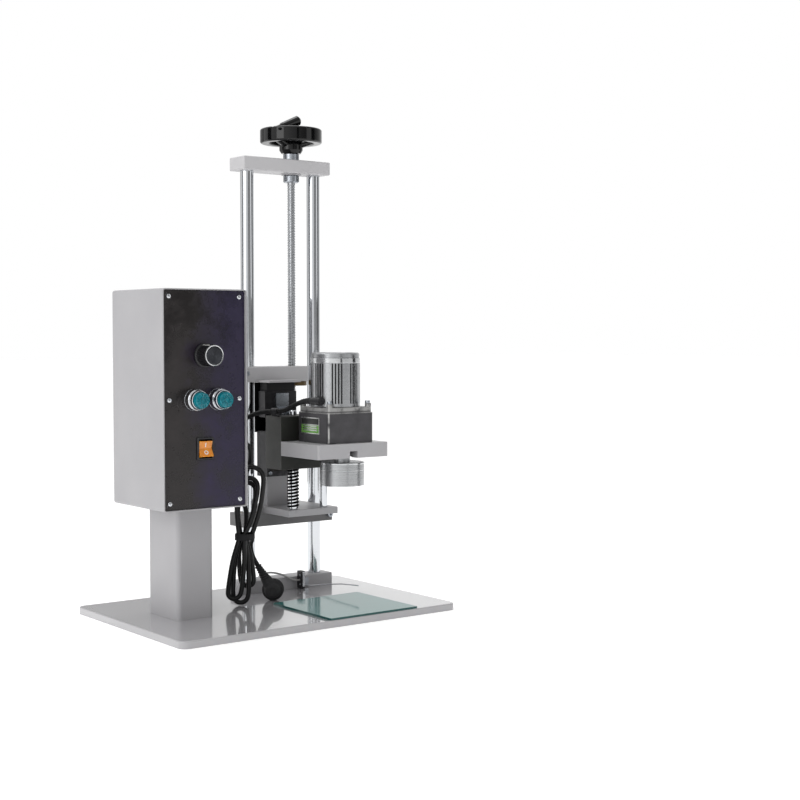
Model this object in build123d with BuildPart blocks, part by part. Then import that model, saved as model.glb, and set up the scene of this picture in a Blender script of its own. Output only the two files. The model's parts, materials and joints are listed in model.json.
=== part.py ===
"""Bench-top bottle capping machine with a motor-driven chuck that a solenoid presses down.

A steel base carries a control box on a post at the left and two chrome columns at the right.
A lift frame rides on the columns and is raised by a lead screw with a handwheel on top.
The capping head slides on two short rods of the lift frame, held up by a spring.
Frame: millimetres, X to the right, Y to the back, Z up, origin under the middle of the base.
"""
import math
import os

from build123d import *

# Base plate
base_length = 455.0
base_depth = 313.0
base_thickness = 10.0
base_corner_radius = 12.0
base_edge_radius = 1.5

# Columns, foot block and top plate
head_x = 92.5
column_y = 106.0
column_spacing = 120.0
column_diameter = 20.0
block_length = 166.0
block_depth = 32.0
block_height = 18.5
top_plate_length = 154.0
top_plate_depth = 43.0
top_plate_thickness = 20.0
top_plate_z = 650.0
column_end_cover = 4.0
plate_chamfer = 1.0

# Control box on its post
box_x = -136.5
box_y = 11.5
box_width = 130.0
box_depth = 148.0
box_height = 300.0
box_bottom_z = 165.0
box_wall = 1.5
box_corner_radius = 4.0
box_lip = 12.0
panel_recess = 4.0
panel_thickness = 2.0
panel_gap = 0.5
post_width = 56.0
post_depth = 86.0
post_wall = 3.0
post_corner_radius = 6.0
panel_screw_inset = 8.5
panel_screw_head_diameter = 7.0
panel_screw_head_height = 2.4
panel_screw_diameter = 4.0

# Panel furniture, measured down from the top of the box
knob_drop = 90.0
button_drop = 150.0
rocker_drop = 217.0
button_spacing = 37.0
knob_diameter = 29.0
knob_skirt_diameter = 33.0
knob_length = 27.0
knob_skirt_height = 6.0
knob_taper = 8.0
knob_rib_count = 12
knob_groove_radius = 2.4
knob_groove_offset = 0.4
knob_cap_inset = 1.2
knob_cap_height = 2.2
knob_dish_inset = 3.0
knob_dish_depth = 0.8
knob_hollow_diameter = 14.2
knob_hollow_depth = 5.0
pot_shaft_diameter = 6.0
pot_shaft_length = 19.0
pot_bush_diameter = 9.0
pot_bush_length = 4.0
pot_nut_diameter = 13.0
pot_nut_thickness = 2.0
pot_body_diameter = 26.0
pot_body_depth = 18.0
bezel_diameter = 29.5
bezel_length = 15.0
bezel_thread_diameter = 21.6
bezel_edge_radius = 2.0
bezel_body_depth = 42.0
bezel_body_width = 28.0
bezel_floor_depth = 1.0
stem_bore_diameter = 15.6
stem_bore_depth = 5.0
lens_diameter = 22.5
lens_length = 26.1
lens_edge_radius = 4.0
stem_length = 3.0
button_travel = 3.0
rocker_width = 25.5
rocker_height = 31.0
rocker_corner_radius = 2.0
rocker_bezel_depth = 2.5
rocker_bezel_chamfer = 0.8
rocker_rim = 2.5
rocker_clip_margin = 1.6
rocker_cut_margin = 1.5
rocker_body_depth = 24.0
rocker_well_depth = 13.0
paddle_end_gap = 2.7
paddle_pivot_depth = 3.0
paddle_high_end = 4.2
paddle_low_end = 1.0
paddle_waist = 1.8
paddle_belly = 6.0
paddle_edge_radius = 0.8
board_width = 90.0
board_height = 110.0
board_thickness = 1.6
standoff_height = 8.0
standoff_radius = 3.0
standoff_inset = 5.0
relay_width = 28.0
relay_length = 30.0
relay_place = (-22.0, 25.0)
terminal_length = 44.0
terminal_width = 12.0
terminal_place = (20.0, -36.0)
relay_height = 17.0
capacitor_radius = 11.0
capacitor_height = 32.0
capacitor_place = (22.0, 24.0)

# Lead screw and handwheel
screw_offset_x = 19.5
screw_diameter = 12.0
screw_bottom_z = 250.0
screw_collar_diameter = 24.0
screw_collar_height = 11.0
bearing_flange_diameter = 30.0
bearing_flange_thickness = 2.0
bearing_wall = 2.5
column_screw_hole_radius = 4.5
screw_end_rise = 1.5
screw_passage_gap = 2.0
wheel_diameter = 95.0
wheel_rim_height = 22.0
wheel_rim_width = 14.0
wheel_rim_radius = 3.0
wheel_rim_rise = 37.5
wheel_hub_diameter = 36.0
wheel_hub_foot_diameter = 30.0
wheel_hub_foot_height = 5.0
wheel_hub_rise = 33.0
wheel_hub_edge = 2.5
wheel_spoke_width = 14.0
wheel_spoke_thickness = 9.0
wheel_spoke_count = 3
wheel_spoke_angle = 80.0
wheel_spoke_start_z = 689.0
wheel_spoke_end_z = 703.0
handle_angle = 200.0
handle_tilt = 23.0
handle_length = 48.0
handle_diameter = 15.0
handle_taper = 1.0
handle_end_radius = 3.0
handle_shoulder = 14.5
handle_pin_diameter = 4.0
handle_pin_length = 16.0
handle_pin_z = 713.2
tongue_thickness = 7.0
tongue_height = 10.0
slot_outer_reach = 6.0
slot_inner_reach = 17.0

# Lift frame
nut_plate_bottom_z = 334.5
nut_plate_thickness = 20.0
nut_plate_margin = 16.0
bracket_sheet = 3.2
nut_flange_diameter = 46.0
nut_flange_thickness = 7.0
nut_wall = 5.0
sheet_hole_margin = 1.0
tongue_reach = 7.5
clamp_screw_inset = 6.0
clamp_screw_head_radius = 4.5
clamp_screw_head_height = 5.0
clamp_screw_key_radius = 2.3
clamp_screw_key_depth = 2.5
clamp_plate_length = 160.0
clamp_plate_bottom_z = 112.0
clamp_plate_thickness = 20.0
clamp_slit = 2.5
bush_wall = 3.0
web_left = -39.5
web_width = 38.0
web_thickness = 12.0
guide_plate_width = 88.0
guide_plate_reach = 88.5
guide_plate_thickness = 10.0
rod_spacing = 55.0
rod_setback = 14.0
rod_diameter = 12.0
rod_top_z = 290.0
spring_coils = 12
spring_wire = 2.4
spring_diameter = 18.5
rod_chamfer = 1.0
head_travel = 20.0

# Capping head
carriage_width = 124.0
carriage_depth = 42.0
carriage_bottom_z = 204.0
carriage_height = 79.0
head_plate_depth = 97.0
head_plate_bottom_z = 225.0
head_plate_thickness = 21.0
notch_width = 13.5
notch_height = 10.0
head_plate_edge = 2.0
shaft_window_radius = 15.0
gearbox_size = 80.0
gearbox_height = 52.0
gearbox_front_gap = 6.0
gearbox_corner_radius = 5.0
gearbox_flange_height = 8.0
gearbox_flange_step = 1.5
pillar_radius = 6.0
pillar_cap_radius = 4.5
pillar_cap_height = 5.0
gearbox_spigot_radius = 14.5
gearbox_spigot_height = 3.0
gearbox_bore_depth = 20.0
motor_diameter = 72.0
motor_height = 79.0
motor_cap_height = 8.0
motor_cap_edge = 2.5
motor_cap_step = 1.0
motor_cap_step_share = 0.55
motor_groove_count = 4
motor_groove_groups = 8
motor_groove_width = 1.9
motor_groove_depth = 2.0
shaft_offset = 17.0
shaft_diameter = 12.0
shaft_in_gearbox = 16.0
shaft_below_floor = 4.0
cup_diameter = 64.0
cup_height = 34.0
cup_bottom_z = 184.0
cup_wall = 5.0
cup_edge = 1.5
cup_lip_edge = 1.0
cup_boss_diameter = 23.0
cup_boss_height = 11.0
cone_small_radius = 12.0
cone_lip = 4.0
cone_lip_rise = 3.0
solenoid_width = 56.0
solenoid_depth = 28.0
solenoid_bottom_z = 190.0
solenoid_height = 68.0
armature_height = 39.0
armature_leg_width = 18.0
armature_leg_reach = 50.0
armature_side_margin = 5.0
armature_pin_radius = 3.0
armature_pin_drop = 10.0
core_wall = 8.0
stop_margin = 3.0
link_width = 22.0
link_thickness = 5.0
link_knee_drop = 6.0
link_rod_gap = 2.0
link_top_drop = 3.0
link_pin_proud = 2.0
coil_width = 44.0
coil_bulge = 3.0
coil_corner_radius = 5.0

# Bottle sensor and pad
switch_x = 113.5
switch_width = 6.5
switch_depth = 12.0
switch_height = 27.0
switch_lift = 0.5
switch_edge_radius = 0.6
bracket_thickness = 1.5
bracket_height = 13.0
bracket_depth = 9.0
bracket_foot = 14.0
bracket_lift = 2.0
feeler_wire = 1.6
lever_thickness = 0.8
lever_width = 4.4
lever_gap = 1.5
lever_foot_lift = 4.0
lever_pivot_radius = 1.2
lever_pivot_back = 0.5
wire_bend_radius = 8.0
pad_width = 150.0
pad_depth = 148.0
pad_thickness = 3.0
pad_offset_x = -13.0

# Leads
cord_diameter = 7.0
gland_hex = 16.0
gland_length = 12.0
gland_nut_step = 1.5
gland_taper = 8.0
gland_tail = 8.0
gland_bore = 12.0
mains_gland_back = 32.0
mains_gland_rise = 15.0
motor_gland_front = 18.0
motor_gland_rise = 85.0
switch_lead_diameter = 3.0
lead_hole_x = 64.5
lead_hole_y = 136.0
hank_thickness = 14.0
hank_upper_length = 108.0
hank_upper_half_width = 17.0
hank_upper_lean = -19.0
hank_lower_half_width = 15.0
hank_lower_shift = -4.0
hank_overlap = 6.0
plug_diameter = 32.0
plug_thickness = 22.0
plug_edge_radius = 3.0
plug_neck_length = 42.0
plug_neck_inset = 3.0
plug_shoulder_inset = 8.0
plug_shoulder_radius = 5.0
plug_neck_wall = 1.2
plug_pin_width = 6.0
plug_pin_thickness = 1.8
plug_pin_length = 18.0
plug_pin_places = [(-7.0, 0.0), (5.0, 6.5), (5.0, -6.5)]
lead_leave = 12.0
elbow_angle = 200.0
elbow_diameter = 13.0
elbow_reach = 6.0
elbow_rise = 9.0
sleeve_diameter = 12.0
sleeve_length = 14.0
sleeve_root = 5.0
sleeve_taper = 3.0
clip_length = 8.0
clip_wall = 2.0
clip_overhang = 4.7
clip_back = 10.3
clip_height = 7.0
clip_foot_length = 16.0
clip_far_lead = 21.0
clip_near_lead = 13.0

# Clearances
turning_gap = 0.3
shaft_gap = 0.05
seat_gap = 0.1

# Places worked out from the sizes
column_points = [(head_x - column_spacing / 2, column_y), (head_x + column_spacing / 2, column_y)]
screw_x = head_x + screw_offset_x
block_top_z = base_thickness + block_height
top_plate_top_z = top_plate_z + top_plate_thickness
wheel_rim_z = top_plate_top_z + wheel_rim_rise
wheel_hub_top_z = top_plate_top_z + wheel_hub_rise
guide_front_y = column_y - guide_plate_reach
rod_y = guide_front_y + rod_setback
rod_points = [(head_x - rod_spacing / 2, rod_y), (head_x + rod_spacing / 2, rod_y)]
guide_plate_bottom_z = clamp_plate_bottom_z + clamp_plate_thickness
guide_plate_top_z = guide_plate_bottom_z + guide_plate_thickness
plate_back_y = column_y + top_plate_depth / 2
plate_front_y = column_y - top_plate_depth / 2
carriage_front_y = rod_y - carriage_depth / 2
carriage_back_y = rod_y + carriage_depth / 2
carriage_top_z = carriage_bottom_z + carriage_height
head_front_y = carriage_front_y - head_plate_depth
head_plate_top_z = head_plate_bottom_z + head_plate_thickness
gearbox_y = head_front_y + gearbox_front_gap + gearbox_size / 2
gearbox_top_z = head_plate_top_z + gearbox_height
chuck_y = gearbox_y - shaft_offset
box_front_y = box_y - box_depth / 2
box_top_z = box_bottom_z + box_height
panel_front_y = box_front_y + panel_recess
panel_back_y = panel_front_y + panel_thickness
knob_z = box_top_z - knob_drop
button_z = box_top_z - button_drop
rocker_z = box_top_z - rocker_drop
web_front_y = plate_front_y
web_back_y = web_front_y + web_thickness
solenoid_front_y = web_front_y - solenoid_depth
solenoid_x = head_x + web_left + solenoid_width / 2 - 18.0
solenoid_y = solenoid_front_y + solenoid_depth / 2
solenoid_top_z = solenoid_bottom_z + solenoid_height
armature_bottom_z = solenoid_top_z + head_travel + 1.0
armature_top_z = armature_bottom_z + armature_height
nut_sheet_bottom_z = nut_plate_bottom_z - bracket_sheet
button_points = [box_x - button_spacing / 2, box_x + button_spacing / 2]
switch_back_y = column_y - block_depth / 2
pad_front_y = -base_depth / 2 + 1.0


def save(part, name):
    """Labels a finished piece and writes it to its own file."""
    part.label = name
    export_step(part, f"parts/{name}.step")


def facing_front(y, x=0.0, z=0.0):
    """A sketch plane at depth y that faces the front, with X to the right and Z up."""
    return Plane(origin=(x, y, z), x_dir=(1, 0, 0), z_dir=(0, -1, 0))


os.makedirs("parts", exist_ok=True)

# Base plate: one thick steel plate, painted, with rounded corners
with BuildPart() as base_plate:
    with BuildSketch():
        RectangleRounded(base_length, base_depth, base_corner_radius)
    extrude(amount=base_thickness)
    fillet(base_plate.faces().sort_by(Axis.Z)[-1].edges(), base_edge_radius)
    with BuildSketch():
        with Locations((lead_hole_x, lead_hole_y)):
            Circle(switch_lead_diameter / 2 + seat_gap)
    extrude(amount=base_thickness, mode=Mode.SUBTRACT)
save(base_plate.part, "base_plate")

# Post: a rectangular tube welded upright on the base plate
with BuildPart() as post:
    with BuildSketch(Plane.XY.offset(base_thickness)):
        with Locations((box_x, box_y)):
            RectangleRounded(post_width, post_depth, post_corner_radius)
            RectangleRounded(
                post_width - 2 * post_wall,
                post_depth - 2 * post_wall,
                post_corner_radius - post_wall,
                mode=Mode.SUBTRACT,
            )
    extrude(amount=box_bottom_z - base_thickness)
save(post.part, "box_post")

# Control box: a folded sheet shell, open at the front, with a lip all round behind the panel
box_right_x = box_x + box_width / 2
gland_points = [
    (box_y + mains_gland_back, box_bottom_z + mains_gland_rise),
    (box_y - motor_gland_front, box_bottom_z + motor_gland_rise),
]
with BuildPart() as control_box:
    with BuildSketch(facing_front(box_y + box_depth / 2, box_x, box_bottom_z + box_height / 2)):
        RectangleRounded(box_width, box_height, box_corner_radius)
    extrude(amount=box_depth)
    offset(amount=-box_wall, openings=control_box.faces().sort_by(Axis.Y)[0])
    with BuildSketch(facing_front(panel_back_y + box_wall, box_x, box_bottom_z + box_height / 2)):
        Rectangle(box_width - box_wall, box_height - box_wall)
        Rectangle(box_width - 2 * box_lip, box_height - 2 * box_lip, mode=Mode.SUBTRACT)
    extrude(amount=box_wall)
    with BuildSketch(Plane.YZ.offset(box_right_x - box_wall)):
        with Locations(*gland_points):
            Circle(gland_bore / 2)
    extrude(amount=box_wall, mode=Mode.SUBTRACT)
save(control_box.part, "control_box")

# Front panel: a flat plate screwed on the lip, cut out for the controls
panel_width = box_width - 2 * (box_wall + panel_gap)
panel_height = box_height - 2 * (box_wall + panel_gap)
panel_mid_z = box_bottom_z + box_height / 2
screw_column = box_width / 2 - panel_screw_inset
screw_row = box_height / 2 - panel_screw_inset
panel_screw_points = [(x, z) for x in (-screw_column, screw_column) for z in (-screw_row, 0.0, screw_row)]
with BuildPart() as front_panel:
    with BuildSketch(facing_front(panel_back_y, box_x, panel_mid_z)):
        RectangleRounded(panel_width, panel_height, box_corner_radius - box_wall)
        with Locations(*panel_screw_points):
            Circle(panel_screw_diameter / 2 + seat_gap, mode=Mode.SUBTRACT)
        with Locations((0, knob_z - panel_mid_z)):
            Circle(pot_bush_diameter / 2 + seat_gap, mode=Mode.SUBTRACT)
        with Locations(*[(x - box_x, button_z - panel_mid_z) for x in button_points]):
            Circle(bezel_thread_diameter / 2 + seat_gap, mode=Mode.SUBTRACT)
        with Locations((0, rocker_z - panel_mid_z)):
            Rectangle(
                rocker_width - 2 * rocker_cut_margin,
                rocker_height - 2 * rocker_cut_margin,
                mode=Mode.SUBTRACT,
            )
    extrude(amount=panel_thickness)
save(front_panel.part, "front_panel")

# Six pan-head screws that hold the panel
with BuildPart() as panel_screws:
    with BuildSketch(facing_front(panel_front_y, box_x, panel_mid_z)):
        with Locations(*panel_screw_points):
            Circle(panel_screw_head_diameter / 2)
    extrude(amount=panel_screw_head_height)
    fillet(panel_screws.faces().group_by(Axis.Y)[0].edges(), panel_screw_head_height / 2)
    with BuildSketch(facing_front(panel_front_y, box_x, panel_mid_z)):
        with Locations(*panel_screw_points):
            Circle(panel_screw_diameter / 2)
    extrude(amount=-panel_thickness)
save(panel_screws.part, "panel_screws")

# Potentiometer behind the panel: its threaded bush passes the panel, its shaft carries the knob
with BuildPart() as potentiometer:
    with BuildSketch(facing_front(panel_back_y, box_x, knob_z)):
        Circle(pot_body_diameter / 2)
    extrude(amount=-pot_body_depth)
    with BuildSketch(facing_front(panel_back_y, box_x, knob_z)):
        Circle(pot_bush_diameter / 2)
    extrude(amount=panel_thickness + pot_bush_length)
    with BuildSketch(facing_front(panel_front_y, box_x, knob_z)):
        Circle(pot_nut_diameter / 2)
    extrude(amount=pot_nut_thickness)
    with BuildSketch(facing_front(panel_front_y, box_x, knob_z)):
        Circle(pot_shaft_diameter / 2)
    extrude(amount=pot_shaft_length)
save(potentiometer.part, "potentiometer")

# Knob: a moulded skirt, a ribbed grip and a turned metal cap ring, hollow round the shaft
with BuildPart() as speed_knob:
    with BuildSketch(facing_front(panel_front_y - 2 * turning_gap, box_x, knob_z)):
        Circle(knob_skirt_diameter / 2)
    extrude(amount=knob_skirt_height, taper=knob_taper)
    with BuildSketch(facing_front(panel_front_y - 2 * turning_gap, box_x, knob_z)):
        Circle(knob_diameter / 2)
        with PolarLocations(knob_diameter / 2 + knob_groove_offset, knob_rib_count):
            Circle(knob_groove_radius, mode=Mode.SUBTRACT)
    extrude(amount=knob_length)
    with BuildSketch(facing_front(panel_front_y - knob_length, box_x, knob_z)):
        Circle(knob_diameter / 2 - knob_cap_inset)
    extrude(amount=knob_cap_height)
    with BuildSketch(facing_front(panel_front_y - knob_length - knob_cap_height, box_x, knob_z)):
        Circle(knob_diameter / 2 - knob_dish_inset)
    extrude(amount=-knob_dish_depth, mode=Mode.SUBTRACT)
    with BuildSketch(facing_front(panel_front_y, box_x, knob_z)):
        Circle(knob_hollow_diameter / 2)
    extrude(amount=knob_hollow_depth, both=True, mode=Mode.SUBTRACT)
    with BuildSketch(facing_front(panel_front_y, box_x, knob_z)):
        Circle(pot_shaft_diameter / 2 + shaft_gap)
    extrude(amount=pot_shaft_length + turning_gap, mode=Mode.SUBTRACT)
save(speed_knob.part, "speed_knob")

# Push button housings: chrome bezel in front of the panel, switch body behind it
with BuildPart() as button_housings:
    with BuildSketch(facing_front(panel_front_y, 0, button_z)):
        with Locations(*[(x, 0) for x in button_points]):
            Circle(bezel_diameter / 2)
    extrude(amount=bezel_length)
    fillet(button_housings.faces().group_by(Axis.Y)[0].edges(), bezel_edge_radius)
    with BuildSketch(facing_front(panel_front_y, 0, button_z)):
        with Locations(*[(x, 0) for x in button_points]):
            Circle(bezel_thread_diameter / 2)
    extrude(amount=-panel_thickness)
    with BuildSketch(facing_front(panel_back_y, 0, button_z)):
        with Locations(*[(x, 0) for x in button_points]):
            Rectangle(bezel_body_width, bezel_body_width)
    extrude(amount=-bezel_body_depth)
    with BuildSketch(facing_front(panel_front_y - bezel_length, 0, button_z)):
        with Locations(*[(x, 0) for x in button_points]):
            Circle(lens_diameter / 2 + turning_gap)
    extrude(amount=-(bezel_length + bezel_floor_depth), mode=Mode.SUBTRACT)
    with BuildSketch(facing_front(panel_front_y + bezel_floor_depth, 0, button_z)):
        with Locations(*[(x, 0) for x in button_points]):
            Circle(stem_bore_diameter / 2)
    extrude(amount=-stem_bore_depth, mode=Mode.SUBTRACT)
save(button_housings.part, "button_housings")

# Push buttons: a domed lens on a hollow stem, each sliding in its bezel
lens_foot_y = panel_front_y - button_travel - turning_gap
for side, button_x in zip(("left", "right"), button_points):
    with BuildPart() as push_button:
        with BuildSketch(facing_front(lens_foot_y, button_x, button_z)):
            Circle(lens_diameter / 2)
        extrude(amount=lens_length)
        fillet(push_button.faces().sort_by(Axis.Y)[0].edges(), lens_edge_radius)
        with BuildSketch(facing_front(lens_foot_y, button_x, button_z)):
            Circle(stem_bore_diameter / 2 - turning_gap)
        extrude(amount=-stem_length)
    save(push_button.part, f"push_button_{side}")

# Rocker switch: a bezel and body clipped in the panel, and the paddle that tips on a pin
rocker_inner_width = rocker_width - 2 * rocker_rim
rocker_inner_height = rocker_height - 2 * rocker_rim
paddle_width = rocker_inner_width - 2 * turning_gap
paddle_height = rocker_inner_height - 2 * paddle_end_gap
paddle_pivot_y = panel_front_y + paddle_pivot_depth
with BuildPart() as rocker_housing:
    with BuildSketch(facing_front(panel_front_y, box_x, rocker_z)):
        RectangleRounded(rocker_width, rocker_height, rocker_corner_radius)
    extrude(amount=rocker_bezel_depth)
    chamfer(rocker_housing.faces().sort_by(Axis.Y)[0].edges(), rocker_bezel_chamfer)
    with BuildSketch(facing_front(panel_front_y, box_x, rocker_z)):
        Rectangle(rocker_width - 2 * rocker_clip_margin, rocker_height - 2 * rocker_clip_margin)
    extrude(amount=-rocker_body_depth)
    with BuildSketch(facing_front(panel_front_y - rocker_bezel_depth, box_x, rocker_z)):
        Rectangle(rocker_inner_width, rocker_inner_height)
    extrude(amount=-(rocker_bezel_depth + rocker_well_depth), mode=Mode.SUBTRACT)
save(rocker_housing.part, "rocker_housing")

paddle_face_y = panel_front_y - rocker_bezel_depth
with BuildPart() as rocker_paddle:
    with BuildSketch(Plane.YZ.offset(box_x)):
        with BuildLine():
            top = (paddle_face_y - paddle_low_end, rocker_z + paddle_height / 2)
            middle = (paddle_face_y + paddle_waist, rocker_z)
            bottom = (paddle_face_y - paddle_high_end, rocker_z - paddle_height / 2)
            belly = (paddle_pivot_y + paddle_belly, rocker_z)
            Polyline(bottom, middle, top)
            ThreePointArc(top, belly, bottom)
        make_face()
    extrude(amount=paddle_width / 2, both=True)
    fillet(rocker_paddle.edges().filter_by(Axis.X).group_by(Axis.Z)[-1], paddle_edge_radius)
    fillet(rocker_paddle.edges().filter_by(Axis.X).group_by(Axis.Z)[0], paddle_edge_radius)
save(rocker_paddle.part, "rocker_paddle")

# Control board on stand-offs at the back wall, with relay, capacitor and terminal strip
board_y = box_y + box_depth / 2 - box_wall - standoff_height
with BuildPart() as control_board:
    with BuildSketch(facing_front(board_y, box_x, panel_mid_z)):
        Rectangle(board_width, board_height)
    extrude(amount=board_thickness)
    with BuildSketch(facing_front(board_y + standoff_height, box_x, panel_mid_z)):
        with GridLocations(board_width - 2 * standoff_inset, board_height - 2 * standoff_inset, 2, 2):
            Circle(standoff_radius)
    extrude(amount=standoff_height)
    with BuildSketch(facing_front(board_y - board_thickness, box_x, panel_mid_z)):
        with Locations(relay_place):
            Rectangle(relay_width, relay_length)
        with Locations(terminal_place):
            Rectangle(terminal_length, terminal_width)
    extrude(amount=relay_height)
    with BuildSketch(facing_front(board_y - board_thickness, box_x, panel_mid_z)):
        with Locations(capacitor_place):
            Circle(capacitor_radius)
    extrude(amount=capacitor_height)
save(control_board.part, "control_board")

# Cable glands in the right side of the box: the lower for the mains lead, the upper for the motor
with BuildPart() as box_glands:
    with BuildSketch(Plane.YZ.offset(box_right_x)):
        with Locations(*gland_points):
            RegularPolygon(gland_hex / 2, 6)
    extrude(amount=gland_length / 2)
    with BuildSketch(Plane.YZ.offset(box_right_x + gland_length / 2)):
        with Locations(*gland_points):
            Circle(gland_hex / 2 - gland_nut_step)
    extrude(amount=gland_length / 2, taper=gland_taper)
    with BuildSketch(Plane.YZ.offset(box_right_x)):
        with Locations(*gland_points):
            Circle(gland_bore / 2 - seat_gap)
    extrude(amount=-(box_wall + gland_tail))
save(box_glands.part, "box_glands")

# Foot block: a milled bar bolted to the base from below, bored for both columns
with BuildPart() as column_block:
    with BuildSketch(Plane.XY.offset(base_thickness)):
        with Locations((head_x, column_y)):
            Rectangle(block_length, block_depth)
    extrude(amount=block_height)
    chamfer(column_block.faces().sort_by(Axis.Z)[-1].edges(), plate_chamfer)
    with BuildSketch(Plane.XY.offset(base_thickness)):
        with Locations(*column_points):
            Circle(column_diameter / 2)
    extrude(amount=block_height, mode=Mode.SUBTRACT)
save(column_block.part, "column_block")

# Two chrome columns, turned down at the top where the plate is screwed on them
column_top_z = top_plate_top_z - column_end_cover
with BuildPart() as guide_columns:
    with BuildSketch(Plane.XY.offset(base_thickness)):
        with Locations(*column_points):
            Circle(column_diameter / 2)
    extrude(amount=column_top_z - base_thickness)
save(guide_columns.part, "guide_columns")

# Top plate: ties the columns and carries the lead screw in a flanged bush
bearing_radius = screw_diameter / 2 + bearing_wall
with BuildPart() as top_plate:
    with BuildSketch(Plane.XY.offset(top_plate_z)):
        with Locations((head_x, column_y)):
            Rectangle(top_plate_length, top_plate_depth)
    extrude(amount=top_plate_thickness)
    chamfer(top_plate.faces().sort_by(Axis.Z)[-1].edges(), plate_chamfer)
    chamfer(top_plate.faces().sort_by(Axis.Z)[0].edges(), plate_chamfer)
    with BuildSketch(Plane.XY.offset(top_plate_z)):
        with Locations(*column_points):
            Circle(column_diameter / 2)
    extrude(amount=column_top_z - top_plate_z, mode=Mode.SUBTRACT)
    with BuildSketch(Plane.XY.offset(top_plate_z)):
        with Locations((screw_x, column_y)):
            Circle(bearing_radius)
    extrude(amount=top_plate_thickness, mode=Mode.SUBTRACT)
    with BuildSketch(Plane.XY.offset(top_plate_top_z)):
        with Locations(*column_points):
            Circle(column_screw_hole_radius)
    extrude(amount=-column_end_cover, mode=Mode.SUBTRACT)
save(top_plate.part, "top_plate")

# Flanged bush pressed in the top plate
with BuildPart() as screw_bearing:
    with BuildSketch(Plane.XY.offset(top_plate_z)):
        with Locations((screw_x, column_y)):
            Circle(bearing_radius)
    extrude(amount=top_plate_thickness)
    with BuildSketch(Plane.XY.offset(top_plate_z)):
        with Locations((screw_x, column_y)):
            Circle(bearing_flange_diameter / 2)
    extrude(amount=-bearing_flange_thickness)
    with BuildSketch(Plane.XY.offset(top_plate_z - bearing_flange_thickness)):
        with Locations((screw_x, column_y)):
            Circle(screw_diameter / 2 + shaft_gap)
    extrude(amount=top_plate_thickness + bearing_flange_thickness, mode=Mode.SUBTRACT)
save(screw_bearing.part, "screw_bearing")

# Lead screw with plain journal, from the wheel hub down past the nut
with BuildPart() as lead_screw:
    with BuildSketch(Plane.XY.offset(screw_bottom_z)):
        with Locations((screw_x, column_y)):
            Circle(screw_diameter / 2)
    extrude(amount=wheel_hub_top_z + screw_end_rise - screw_bottom_z)
    chamfer(lead_screw.faces().sort_by(Axis.Z)[0].edges(), screw_end_rise)
save(lead_screw.part, "lead_screw")

# Two split collars clamp the screw above and below the top plate
collar_bottoms = [
    top_plate_z - bearing_flange_thickness - turning_gap - screw_collar_height,
    top_plate_top_z + turning_gap,
]
with BuildPart() as screw_collars:
    for collar_z in collar_bottoms:
        with BuildSketch(Plane.XY.offset(collar_z)):
            with Locations((screw_x, column_y)):
                Circle(screw_collar_diameter / 2)
                Circle(screw_diameter / 2, mode=Mode.SUBTRACT)
        extrude(amount=screw_collar_height)
save(screw_collars.part, "screw_collars")

# Handwheel: a moulded wheel with a deep rim, three dished spokes and a hub, slotted for the handle
hub_foot_z = collar_bottoms[1] + screw_collar_height
rim_radius = (wheel_diameter - wheel_rim_width) / 2
pivot_x = screw_x + rim_radius * math.cos(math.radians(handle_angle))
pivot_y = column_y + rim_radius * math.sin(math.radians(handle_angle))
with BuildPart() as handwheel:
    with BuildSketch(Plane.XZ.offset(-column_y)):
        with BuildLine():
            Polyline(
                (screw_x, hub_foot_z),
                (screw_x + wheel_hub_foot_diameter / 2, hub_foot_z),
                (screw_x + wheel_hub_diameter / 2, hub_foot_z + wheel_hub_foot_height),
                (screw_x + wheel_hub_diameter / 2, wheel_hub_top_z - wheel_hub_edge),
                (screw_x + wheel_hub_diameter / 2 - wheel_hub_edge, wheel_hub_top_z),
                (screw_x, wheel_hub_top_z),
                close=True,
            )
        make_face()
    revolve(axis=Axis((screw_x, column_y, 0), (0, 0, 1)))
    for spoke in range(wheel_spoke_count):
        turn = math.radians(wheel_spoke_angle + spoke * 360.0 / wheel_spoke_count)
        spoke_run = Vector(
            rim_radius * math.cos(turn),
            rim_radius * math.sin(turn),
            wheel_spoke_end_z - wheel_spoke_start_z,
        )
        spoke_plane = Plane(
            origin=(screw_x, column_y, wheel_spoke_start_z),
            x_dir=(-math.sin(turn), math.cos(turn), 0),
            z_dir=spoke_run,
        )
        with BuildSketch(spoke_plane):
            Ellipse(wheel_spoke_width / 2, wheel_spoke_thickness / 2)
        extrude(amount=spoke_run.length)
    with BuildSketch(Plane.XZ.offset(-column_y)):
        with Locations((screw_x + rim_radius, wheel_rim_z)):
            RectangleRounded(wheel_rim_width, wheel_rim_height, wheel_rim_radius)
    revolve(axis=Axis((screw_x, column_y, 0), (0, 0, 1)))
    slot_floor_z = handle_pin_z - tongue_height / 2 - turning_gap
    with BuildSketch(Plane.XY.offset(slot_floor_z)):
        with Locations((pivot_x + (slot_inner_reach - slot_outer_reach) / 2, pivot_y)):
            Rectangle(slot_inner_reach + slot_outer_reach, tongue_thickness + 2 * turning_gap)
    extrude(amount=wheel_rim_height, mode=Mode.SUBTRACT)
    with BuildSketch(facing_front(pivot_y + handle_pin_length / 2, pivot_x, handle_pin_z)):
        Circle(handle_pin_diameter / 2)
    extrude(amount=wheel_diameter / 2, mode=Mode.SUBTRACT)
    with BuildSketch(Plane.XY.offset(hub_foot_z)):
        with Locations((screw_x, column_y)):
            Circle(screw_diameter / 2)
    extrude(amount=wheel_hub_top_z - hub_foot_z, mode=Mode.SUBTRACT)
save(handwheel.part, "handwheel")

# Pin across the slot of the rim
with BuildPart() as handle_pin:
    with BuildSketch(facing_front(pivot_y, pivot_x, handle_pin_z)):
        Circle(handle_pin_diameter / 2)
    extrude(amount=handle_pin_length / 2, both=True)
save(handle_pin.part, "handle_pin")

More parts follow.
